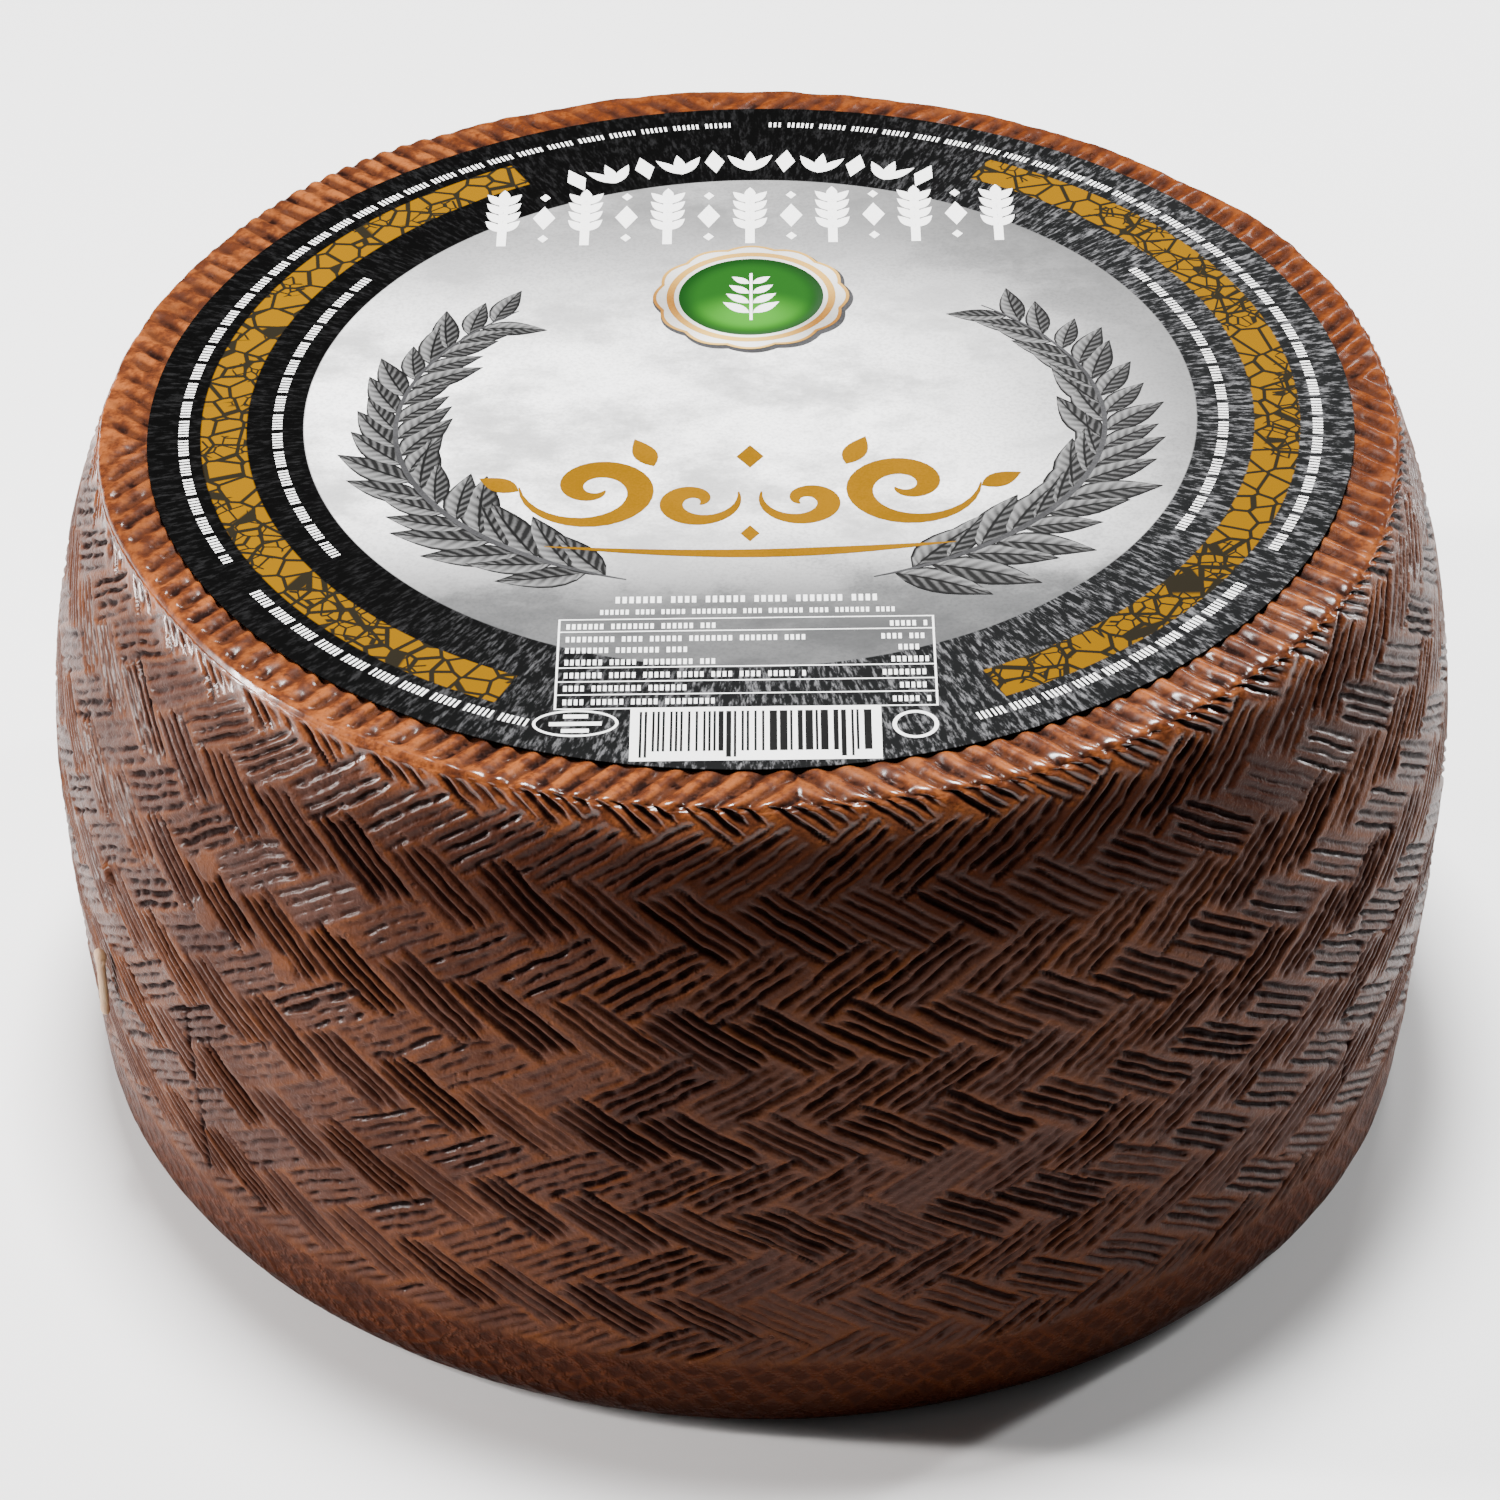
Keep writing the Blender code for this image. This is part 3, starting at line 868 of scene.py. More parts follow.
def label_material(settings):
    """The printed paper: a clouded grey middle, near-black rings and a band of cracked gold."""
    material, tree, shader, place = new_material("Printed paper")
    x, y, _ = parts_of(tree, place)
    radius = (x * x + y * y).root() / LABEL_RADIUS
    fine, _, _ = grain(tree, place, 0.5 * MM, 22 * MM, 2 * MM)
    cloud = noise(tree, vector_of(tree, x, y * 1.4, 0.0), 24 * MM, 6.0, 0.66).rise(0.36, 0.62)
    grey = colour_mix(tree, cloud, (0.40, 0.40, 0.40), (0.93, 0.93, 0.93))
    grey = colour_mix(tree, fine.rise(0.4, 0.7) * 0.35, grey, (0.30, 0.30, 0.30))
    uneven = (cloud - 0.5) * 16 * MM
    to_front = (y * -1 + uneven * 0.6).rise(26 * MM, 51 * MM)
    to_back = (y + uneven * 0.6).rise(14 * MM, 52 * MM)
    to_side = (x * 0.9 + y * 0.3 + uneven).rise(18 * MM, 62 * MM)
    grey = colour_mix(tree, to_side * 0.85, grey, (0.065, 0.065, 0.065))
    grey = colour_mix(tree, to_back * 0.8, grey, (0.075, 0.075, 0.075))
    grey = colour_mix(tree, to_front * 0.92, grey, (0.035, 0.036, 0.037))
    streak_place = vector_of(tree, x / radius, y / radius, radius * (LABEL_RADIUS * 0.3))
    streaks = noise(tree, streak_place, 0.75 * MM, 4.0, 0.7).rise(0.48, 0.7)
    to_right = (x - y * 0.5).rise(-30 * MM, 45 * MM)
    black = colour_mix(tree, to_right, (0.0012, 0.0012, 0.0012), (0.0065, 0.0068, 0.007))
    black = colour_mix(tree, streaks * (to_right * 0.52 + 0.03), black, (0.26, 0.26, 0.27))
    chosen = noise(tree, place, 9 * MM, 0.0).rise(0.56, 0.58)
    crack = 1 - cell_edges(tree, place, 4.0 * MM).rise(0.05, 0.08)
    small_crack = (1 - cell_edges(tree, place, 2.4 * MM).rise(0.04, 0.075)) * chosen
    crack = crack.at_least(small_crack)
    gold = colour_mix(tree, crack, settings.gold_colour, (0.012, 0.010, 0.006))
    in_band = radius.rise(0.8345, 0.8375) * (1 - radius.rise(0.9095, 0.9125))
    bearing = abs(work_out(tree, "ARCTAN2", x, y))
    gaps = bearing.rise(math.radians(28.0), math.radians(28.2))
    gaps = gaps * (1 - bearing.rise(math.radians(154.5), math.radians(154.7)))
    print_colour = colour_mix(tree, in_band * gaps, black, gold)
    print_colour = colour_mix(tree, 1 - radius.rise(0.7395, 0.7425), print_colour, grey)
    paint(tree, shader, print_colour, 0.6 + (fine - 0.5) * 0.12, ior=1.06)
    bump(tree, shader, fine, 0.02 * MM)
    return material


def ink_material(name, colour, shade=0.85, roughness=0.42):
    """Printing ink of one colour, a little uneven on the paper."""
    material, tree, shader, place = new_material(name)
    fine, patches, _ = grain(tree, place, 0.35 * MM, 9 * MM, 2 * MM)
    worn = (fine * 0.5 + patches * 0.5).rise(0.35, 0.65)
    darker = [part * shade for part in colour]
    mixed = colour_mix(tree, worn, darker, colour)
    paint(tree, shader, mixed, roughness + (fine - 0.5) * 0.12, ior=1.1)
    bump(tree, shader, fine, 0.015 * MM)
    return material


def seal_material(name, dark, light):
    """Foil on the seal: bands of light and dark that turn round its middle."""
    material, tree, shader, place = new_material(name)
    x, y, _ = parts_of(tree, place)
    x, y = x - SEAL_PLACE[0], y - SEAL_PLACE[1]
    angle = work_out(tree, "ARCTAN2", y, x)
    fine, _, _ = grain(tree, place, 0.3 * MM, 6 * MM, 2 * MM)
    sheen = (angle * 3 + 0.6).sin() * 0.28 + (angle * 2 - 1.1).sin() * 0.3 + 0.5 + (fine - 0.5) * 0.25
    colour = colour_mix(tree, sheen.at_least(0.0).at_most(1.0), dark, light)
    paint(tree, shader, colour, 0.38 + (fine - 0.5) * 0.1, metallic=0.1, specular=0.3)
    return material


def green_material():
    """The seal's green middle, with painted shading of its dome: a painted highlight in a low crescent,
    painted shade towards the top and the edge.
    """
    material, tree, shader, place = new_material("Green seal")
    x, y, _ = parts_of(tree, place)
    x, y = x - SEAL_PLACE[0], y - SEAL_PLACE[1]
    fine, _, _ = grain(tree, place, 0.3 * MM, 5 * MM, 2 * MM)
    # Painted shading of the dome: a painted highlight in a low crescent and painted shade towards the edge
    low = y + 5.5 * MM
    painted_dome_highlight = 1 - (x * x * 0.45 + low * low).root().rise(1.0 * MM, 7.5 * MM)
    edge = (x * x + y * y).root().rise(7.5 * MM, 10.6 * MM)
    colour = colour_mix(tree, painted_dome_highlight, (0.007, 0.058, 0.005), (0.034, 0.20, 0.012))
    colour = colour_mix(tree, edge * 0.75, colour, (0.002, 0.020, 0.003))
    paint(tree, shader, colour, 0.45 + (fine - 0.5) * 0.08, ior=1.15)
    return material


def leaf_material():
    """Grey engraved leaves: dark at the edges and the vein, with fine strokes across."""
    material, tree, shader, place = new_material("Engraved leaves")
    along, across = carried(tree, "along"), carried(tree, "across")
    fine, _, _ = grain(tree, place, 0.3 * MM, 5 * MM, 2 * MM)
    side = abs(across)
    vein = 1 - side.rise(0.04, 0.13)
    outline = side.rise(0.72, 0.92).at_least(1 - along.rise(0.02, 0.1)).at_least(along.rise(0.9, 0.97))
    hatching = ((along * 46 - side * 9).sin() * 0.5 + 0.5) * (1 - side.rise(0.5, 1.0) * 0.4)
    shaded = across.rise(-0.9, 0.5) * 0.7 + hatching * 0.45 + (fine - 0.5) * 0.3
    colour = colour_mix(tree, shaded.at_least(0.0).at_most(1.0), (0.17, 0.17, 0.17), (0.007, 0.007, 0.007))
    colour = colour_mix(tree, vein.at_least(outline), colour, (0.004, 0.004, 0.004))
    paint(tree, shader, colour, 0.5 + (fine - 0.5) * 0.1, specular=0.06)
    return material


def spread(count, low, high):
    """Evenly spaced numbers from low to high."""
    return [low + (high - low) * i / (count - 1) for i in range(count)]


def add_prism(bm, outline, top, bottom=PRINT_SUNK):
    """A closed flat shape of ink from its outline in millimetres, counter-clockwise seen from above."""
    points = [(x * MM, y * MM) for x, y in outline]
    upper = [bm.verts.new((x, y, paper_height(x, y, top))) for x, y in points]
    lower = [bm.verts.new((x, y, paper_height(x, y, bottom))) for x, y in points]
    bm.faces.new(upper)
    bm.faces.new(list(reversed(lower)))
    for i in range(len(points)):
        after = (i + 1) % len(points)
        bm.faces.new((upper[i], lower[i], lower[after], upper[after]))


def add_bar(bm, x0, y0, x1, y1, top):
    """A rectangle of ink."""
    add_prism(bm, [(x0, y0), (x1, y0), (x1, y1), (x0, y1)], top)


def add_ring(bm, centre, inner, outer, top, points=96, bottom=PRINT_SUNK):
    """A closed ring of ink between two radii, each given as a function of the angle."""
    rows = []
    for radius, above in ((inner, top), (outer, top), (outer, bottom), (inner, bottom)):
        row = []
        for i in range(points):
            angle = math.tau * i / points
            x = (centre[0] + radius(angle) * math.cos(angle)) * MM
            y = (centre[1] + radius(angle) * math.sin(angle)) * MM
            row.append(bm.verts.new((x, y, paper_height(x, y, above))))
        rows.append(row)
    for row, beyond in zip(rows, rows[1:] + rows[:1]):
        for i in range(points):
            after = (i + 1) % points
            bm.faces.new((row[i], beyond[i], beyond[after], row[after]))


def add_stroke(bm, path, widths, top):
    """A closed stroke of ink along a path, with its own half width at each point, in millimetres."""
    left, right = [], []
    for i, (x, y) in enumerate(path):
        before, after = path[max(i - 1, 0)], path[min(i + 1, len(path) - 1)]
        across = Vector((before[1] - after[1], after[0] - before[0])).normalized() * widths[i]
        left.append((x + across.x, y + across.y))
        right.append((x - across.x, y - across.y))
    rows = []
    for side, above in ((left, top), (right, top), (right, PRINT_SUNK), (left, PRINT_SUNK)):
        rows.append([bm.verts.new((x * MM, y * MM, paper_height(x * MM, y * MM, above))) for x, y in side])
    for row, beyond in zip(rows, rows[1:] + rows[:1]):
        for i in range(len(path) - 1):
            bm.faces.new((row[i], row[i + 1], beyond[i + 1], beyond[i]))
    for end in (0, -1):
        bm.faces.new([row[end] for row in rows])


def bent(path, turn, place, mirrored=False):
    """A path turned by degrees and moved, and mirrored across the middle where wanted."""
    cosine, sine = math.cos(math.radians(turn)), math.sin(math.radians(turn))
    moved = [(x * cosine - y * sine + place[0], x * sine + y * cosine + place[1]) for x, y in path]
    return [(-x, y) for x, y in moved] if mirrored else moved


def leaf_outline(length, width):
    """A pointed leaf along +X from the origin."""
    shares = spread(9, 0.0, 1.0)
    upper = [(length * t, width / 2 * math.sin(math.pi * t ** 0.85)) for t in shares]
    return [(x, -y) for x, y in upper] + [(x, y) for x, y in reversed(upper[1:-1])]


def finish_print(name, bm, material):
    """Makes a print piece from its closed shapes."""
    mesh = closed_mesh(name, bm)
    mesh.materials.append(material)
    wear_part(link_object(name, mesh), "label")


def plain(radius):
    """A round edge, as a radius by the angle."""
    return lambda angle: radius


def scalloped(radius):
    """An edge of twelve scallops, as a radius by the angle."""
    return lambda angle: radius + 0.75 * abs(math.cos(6 * angle)) - 0.35


def oval(half_width, half_height):
    """An oval edge, as a radius by the angle."""
    return lambda angle: 1 / math.hypot(math.cos(angle) / half_width, math.sin(angle) / half_height)


def lozenge(x, y, half_width, half_height):
    """The outline of a lozenge about a point."""
    return [(x - half_width, y), (x, y - half_height), (x + half_width, y), (x, y + half_height)]


def mirror(outline, wanted):
    """A shape mirrored across the middle where wanted, still counter-clockwise."""
    return [(-x, y) for x, y in reversed(outline)] if wanted else outline


def make_seal():
    """The seal: a dark ring of painted shadow under it, a scalloped silver border with gold lines, a domed
    green middle and a small white sprig.
    """
    centre = SEAL_MIDDLE
    bm = bmesh.new()
    # A painted shadow: a dark grey ring, set off downwards, under the seal
    below = (centre[0] + 0.3, centre[1] - 0.7)
    add_ring(bm, below, plain(9.8), scalloped(14.3), 0.190 * MM, 144)
    finish_print("seal_shade", bm, ink_material("Grey ink and painted seal shadow", (0.05, 0.05, 0.052), 0.6))
    bm = bmesh.new()
    add_ring(bm, centre, plain(9.8), scalloped(13.8), 0.215 * MM, 144)
    silver = seal_material("Silver foil", (0.30, 0.29, 0.27), (0.86, 0.85, 0.82))
    finish_print("seal_silver", bm, silver)
    bm = bmesh.new()
    add_ring(bm, centre, scalloped(13.5), scalloped(14.0), 0.235 * MM, 144)
    add_ring(bm, centre, plain(11.3), plain(12.4), 0.235 * MM)
    gold = seal_material("Gold foil", (0.20, 0.075, 0.004), (0.70, 0.42, 0.09))
    finish_print("seal_gold", bm, gold)
    rings = (
        (0.0, 0.262 * MM),
        (5.0 * MM, 0.258 * MM),
        (9.0 * MM, 0.246 * MM),
        (10.6 * MM, 0.228 * MM),
        (10.7 * MM, PRINT_SUNK),
        (0.0, PRINT_SUNK),
    )
    green = turned_disc("seal_green", rings, 96, SEAL_PLACE)
    green.data.materials.append(green_material())
    wear_part(green, "label")
    bm = bmesh.new()
    stem = [(0.0, -6.6 + 13.0 * t) for t in spread(12, 0.0, 1.0)]
    add_stroke(bm, bent(stem, 0, centre), [0.22] * 12, 0.275 * MM)
    for pair in range(4):
        height = -4.6 + pair * 2.7
        for mirrored in (False, True):
            leaf = bent(leaf_outline(4.9 - pair * 0.55, 1.9 - pair * 0.15), 38, (0.25, height))
            leaf = mirror(leaf, mirrored)
            add_prism(bm, [(x + centre[0], y + centre[1]) for x, y in leaf], 0.275 * MM)
    finish_print("seal_sprig", bm, bpy.data.materials["White ink"])


def wheat_ear(bm, place, turn, height, top):
    """An ear of wheat on its stalk, with grains in pairs and one at the tip."""
    stalk = [(height * t, 0.0) for t in spread(6, 0.0, 0.9)]
    add_stroke(bm, bent(stalk, turn, place), [0.045 * height] * 6, top)
    for pair in range(4):
        for lean in (-38, 38):
            foot = (height * (0.26 + 0.165 * pair), 0)
            kernel = bent(leaf_outline(0.27 * height, 0.115 * height), lean, foot)
            add_prism(bm, bent(kernel, turn, place), top + (0.004 + 0.003 * pair) * MM)
    tip = bent(leaf_outline(0.22 * height, 0.11 * height), 0, (height * 0.83, 0))
    add_prism(bm, bent(tip, turn, place), top + 0.018 * MM)


def make_frieze():
    """White ears of wheat and lozenges in a row over the seal, and a smaller row on the arc behind it."""
    bm = bmesh.new()
    top = 0.195 * MM
    for i in range(7):
        x = -37.2 + i * 12.4
        wheat_ear(bm, (x, 44.6), 90, 15.6, top)
        if i < 6:
            middle = x + 6.2
            for y, half_width, half_height in ((52.6, 1.7, 3.4), (46.6, 0.8, 1.1), (58.6, 0.8, 1.1)):
                add_prism(bm, lozenge(middle, y, half_width, half_height), top)
    for i in range(11):
        angle = math.radians(90 + (i - 5) * 4.5)
        place = (69.0 * math.cos(angle), 69.0 * math.sin(angle))
        turn = math.degrees(angle)
        if i % 2 == 0:
            add_prism(bm, bent(lozenge(0, 0, 3.4, 1.5), turn, place), top)
        else:
            for j, lean in enumerate((-36, 0, 36)):
                foot = (place[0] - 3.0 * math.cos(angle), place[1] - 3.0 * math.sin(angle))
                add_prism(bm, bent(leaf_outline(5.8, 1.8), turn + lean, foot), top + 0.004 * j * MM)
    finish_print("frieze", bm, bpy.data.materials["White ink"])


def spiral(turns, start, end, tightness=1.5, points=46):
    """A scroll round the origin from a wide radius to a tight one, in degrees and millimetres."""
    path = []
    for t in spread(points, 0.0, 1.0):
        radius = end + (start - end) * (1 - t) ** tightness
        angle = math.radians(turns * t)
        path.append((radius * math.cos(angle), radius * math.sin(angle)))
    return path


def swelling(count, widest, at=0.45, thinnest=0.12):
    """Half widths that swell from a thin end and taper to the other, as a pen's do."""
    widths = []
    for t in spread(count, 0.0, 1.0):
        rise = t / at if t < at else (1 - t) / (1 - at)
        widths.append(thinnest + (widest - thinnest) * math.sin(math.pi / 2 * max(rise, 0.0)))
    return widths


def make_flourish(settings):
    """The gold flourish: mirrored scrolls on a long underline, with lozenges between them."""
    bm = bmesh.new()
    top = 0.205 * MM
    for mirrored in (False, True):
        big = bent(spiral(520, 10.5, 1.6), 178, (-21.5, -20.5), mirrored)
        add_stroke(bm, big, swelling(46, 2.0), top)
        small = bent(spiral(-430, 6.4, 1.1), 20, (-7.6, -24.0), mirrored)
        add_stroke(bm, small, swelling(46, 1.6), top + 0.004 * MM)
        for turn, place, length in ((112, (-13.4, -15.2), 7.5), (150, (-32.0, -21.0), 6.5)):
            leaf = bent(leaf_outline(length, 3.4), turn, place)
            add_prism(bm, mirror(leaf, mirrored), top + 0.012 * MM)
    swash = [(-28.0 + 56.0 * t, -34.6 - 2.2 * math.sin(math.pi * t)) for t in spread(60, 0.0, 1.0)]
    add_stroke(bm, swash, swelling(60, 0.95, 0.6, 0.08), top + 0.016 * MM)
    for y, size in ((-13.0, 1.9), (-32.0, 1.3)):
        add_prism(bm, lozenge(0, y, size, 1.5 * size), top)
    finish_print("flourish", bm, ink_material("Gold ink", settings.script_colour, 0.8, 0.4))


def add_ticks(bm, left, right, y, height, draw, top):
    """A row of even upright ticks in small groups, from left to right."""
    step = height * 0.62
    x, place, group = left, 0, draw.randint(4, 9)
    while x + step < right:
        if place < group:
            add_bar(bm, x, y, x + step * 0.62, y + height, top)
            place += 1
        else:
            place, group = 0, draw.randint(4, 9)
        x += step


def make_panels(settings):
    """The ruled panel, the panel of bars, and the two small plain marks beside it."""
    draw = random.Random(settings.seed)
    top = 0.195 * MM
    bm = bmesh.new()
    for x in (-25.5, 24.2):
        add_bar(bm, x, -72.0, x + 0.28, -52.0, top + 0.004 * MM)
    for y in (-52.0, -54.8, -62.9, -66.0, -68.9, -72.0):
        add_bar(bm, -25.5, y, 24.5, y + 0.22, top)
    rows = (-54.2, -57.1, -59.6, -62.3, -65.2, -68.1, -71.1)
    for row, y in enumerate(rows):
        add_ticks(bm, -24.4, (-4.0, 8.0, -8.0)[row % 3], y + 0.1, 1.2, draw, top)
        add_ticks(bm, (18.6, 17.4, 19.6)[row % 3], 24.0, y + 0.1, 1.2, draw, top)
    add_ticks(bm, -18.0, 18.0, -48.2, 1.5, draw, top)
    add_ticks(bm, -20.0, 20.0, -50.8, 1.1, draw, top)
    add_bar(bm, -15.5, -83.3, 17.0, -71.9, 0.200 * MM)
    add_ring(bm, (-22.6, -75.0), oval(5.2, 2.5), oval(5.6, 2.9), top, 64)
    for y, half in ((-73.9, 1.6), (-75.5, 3.4), (-77.0, 1.8)):
        add_bar(bm, -22.6 - half, y, -22.6 + half, y + 0.8, top)
    add_ring(bm, (21.4, -76.0), plain(2.45), plain(3.0), top, 48)
    finish_print("panels", bm, bpy.data.materials["White ink"])
    bm = bmesh.new()
    x, place = -14.3, 0
    while x < 15.6:
        width = draw.choice((0.33, 0.33, 0.66, 0.99))
        long_bar = place in (0, 1, 14, 15, 28, 29)
        add_bar(bm, x, -82.6 if long_bar else -81.3, x + width, -72.7, 0.215 * MM)
        x += width + draw.choice((0.33, 0.33, 0.66, 0.66))
        place += 1
    finish_print("bars", bm, ink_material("Black ink", (0.008, 0.008, 0.008), 0.7))


def instance_tree(name, wanted):
    """The start of a geometry tree that puts copies along a rule: the tree and its inputs."""
    tree = bpy.data.node_groups.new(name, "GeometryNodeTree")
    return tree, tree_inputs(tree, (("Geometry", "NodeSocketGeometry", None), *wanted))


def on_label(tree, geometry, top):
    """Lays a flat tree's geometry on the sloping label, its own lowest point at the height top."""
    x, y, _ = parts_of(tree, made_by(tree, "GeometryNodeInputPosition", 0))
    raised = vector_of(tree, 0.0, 0.0, lift(x, y) + top + WHEEL_HEIGHT)
    return made_by(tree, "GeometryNodeSetPosition", "Geometry", {"Geometry": geometry, "Offset": raised})


def finish_copies(tree, given, shape, place, turn, scale, chosen=None):
    """Ends a tree with a copy of a shape at each of its places, turned, scaled and laid on the label."""
    line = made_by(tree, "GeometryNodeMeshLine", 0, {"Count": given["Count"]})
    points = made_by(tree, "GeometryNodeSetPosition", "Geometry", {"Geometry": line, "Position": place})
    inputs = {
        "Points": points,
        "Instance": shape,
        "Rotation": vector_of(tree, 0.0, 0.0, turn),
        "Scale": scale,
        "Selection": chosen,
    }
    copies = made_by(tree, "GeometryNodeInstanceOnPoints", "Instances", inputs)
    real = made_by(tree, "GeometryNodeRealizeInstances", "Geometry", {"Geometry": copies})
    finish_tree(tree, on_label(tree, real, PAPER_TOP), given["Material"])


def dash_tree():
    """Short upright ticks of ink in a ring, in even groups of six."""
    wanted = (
        ("Radius", "NodeSocketFloat", 80 * MM),
        ("From", "NodeSocketFloat", 0.0),
        ("To", "NodeSocketFloat", math.tau),
        ("Count", "NodeSocketInt", 100),
        ("Height", "NodeSocketFloat", 1.3 * MM),
        ("Seed", "NodeSocketFloat", 1.0),
        ("Material", "NodeSocketMaterial", None),
    )
    tree, given = instance_tree("Ring of dashes", wanted)
    index = made_by(tree, "GeometryNodeInputIndex", 0)
    step = (given["To"] - given["From"]) / given["Count"]
    wide, shifted, _ = chances(tree, index, 0.0, 0.0, given["Seed"])
    angle = given["From"] + (index + 0.5 + (shifted - 0.5) * 0.1) * step
    in_group = GROUP_OF_DASHES - 0.5 - index.wrapped(GROUP_OF_DASHES + 1.0)
    place = vector_of(tree, angle.sin() * given["Radius"], angle.cos() * given["Radius"] * -1, 0.0)
    size = vector_of(tree, abs(step) * given["Radius"] * 0.8, given["Height"], 0.045 * MM)
    block = made_by(tree, "GeometryNodeMeshCube", "Mesh", {"Size": size})
    scale = vector_of(tree, wide * 0.15 + 0.55, 1.0, 1.0)
    chosen = work_out(tree, "GREATER_THAN", in_group, 0.0)
    finish_copies(tree, given, block, place, angle, scale, chosen)
    return tree


def make_dashes():
    """The fine print round the label as plain dashes: one ring near its edge and two arcs inside the gold."""
    tree = dash_tree()
    white = bpy.data.materials["White ink"]
    for name, radius, start, end, count, height in DASH_ARCS:
        made = link_object(name, bpy.data.meshes.new(name))
        values = {
            "Radius": radius * LABEL_RADIUS,
            "From": math.radians(start),
            "To": math.radians(end),
            "Count": count,
            "Height": height * MM,
            "Seed": float(count),
            "Material": white,
        }
        with_tree(made, tree, values)
        wear_part(link_object(name, evaluated_mesh(made)), "label")


def branch_tree():
    """One leafy branch on an oval path, with leaves to both sides that grow smaller towards its tip."""
    wanted = (
        ("Half width", "NodeSocketFloat", 50 * MM),
        ("Half height", "NodeSocketFloat", 41 * MM),
        ("Middle", "NodeSocketFloat", -4 * MM),
        ("From", "NodeSocketFloat", 0.4),
        ("To", "NodeSocketFloat", 2.35),
        ("Count", "NodeSocketInt", 36),
        ("Leaf length", "NodeSocketFloat", 14.5 * MM),
        ("Seed", "NodeSocketFloat", 1.0),
        ("Material", "NodeSocketMaterial", None),
    )
    tree, given = instance_tree("Leafy branch", wanted)
    inputs = {"Size": (1.0, 1.0, 1.0), "Vertices X": 3, "Vertices Y": 8, "Vertices Z": 2}
    block = made_by(tree, "GeometryNodeMeshCube", "Mesh", inputs)
    x, y, z = parts_of(tree, made_by(tree, "GeometryNodeInputPosition", 0))
    along = y + 0.5
    leaf = keep(tree, block, "along", along)
    leaf = keep(tree, leaf, "across", x * 2)
    belly = ((along ** 0.8) * math.pi).sin().at_least(0.02) * 0.4
    crown = (z + 0.5) * (1 - abs(x)) * 0.045 * MM
    inputs = {"Geometry": leaf, "Position": vector_of(tree, x * belly + along * along * 0.1, along, crown)}
    leaf = made_by(tree, "GeometryNodeSetPosition", "Geometry", inputs)

    index = made_by(tree, "GeometryNodeInputIndex", 0)
    side = index.wrapped(2.0) * 2 - 1
    share = index / given["Count"]
    shorter, turned, _ = chances(tree, index, 0.0, 0.0, given["Seed"])
    way = given["From"] + (given["To"] - given["From"]) * share
    heading = work_out(tree, "ARCTAN2", way.sin() * given["Half height"], way.cos() * given["Half width"])
    forward = way.cos() * given["Half height"] * -1 + given["Middle"]
    place = vector_of(tree, way.sin() * given["Half width"], forward, 0.0)
    size = given["Leaf length"] * (1.05 - share * 0.4) * (shorter * 0.25 + 0.8)
    lean = side * (0.62 + (turned - 0.5) * 0.3) - math.pi / 2
    finish_copies(tree, given, leaf, place, heading + lean, vector_of(tree, size, size, 1.0))
    return tree


def make_wreath():
    """Two grey leafy branches that meet at the front and stand open towards the back."""
    tree = branch_tree()
    leaves = leaf_material()
    for name, half_width, seed in (("branch_right", 50 * MM, 3.0), ("branch_left", -50 * MM, 7.0)):
        made = link_object(name, bpy.data.meshes.new(name))
        with_tree(made, tree, {"Half width": half_width, "Seed": seed, "Material": leaves})
        wear_part(link_object(name, evaluated_mesh(made)), "label")
    bm = bmesh.new()
    for side in (-1, 1):
        path = []
        for way in spread(60, 0.34, 2.4):
            path.append((side * 50 * math.sin(way), -41 * math.cos(way) - 4))
        add_stroke(bm, path, swelling(60, 0.45, 0.2, 0.1), 0.215 * MM)
    finish_print("stems", bm, bpy.data.materials["Grey ink and painted seal shadow"])


def straw_material(settings):
    """Dry straw: pale, with fine fibres along it and a few brown specks."""
    material, tree, shader, place = new_material("Dry straw")
    x, y, z = parts_of(tree, place)
    fine, patches, pits = grain(tree, place, 0.35 * MM, 3 * MM, 1.1 * MM)
    fibres = noise(tree, vector_of(tree, x * 6, y * 6, z * 0.6), 1.2 * MM, 3.0)
    colour = colour_mix(tree, fibres.rise(0.35, 0.65), settings.colour, (0.30, 0.18, 0.09))
    colour = colour_mix(tree, patches.rise(0.35, 0.6) * 0.75, colour, (0.34, 0.19, 0.10))
    colour = colour_mix(tree, pits * 0.8, colour, (0.10, 0.05, 0.03))
    paint(tree, shader, colour, 0.55 + (fine - 0.5) * 0.2)
    bump(tree, shader, fibres + fine * 0.4, 0.12 * MM)
    return material


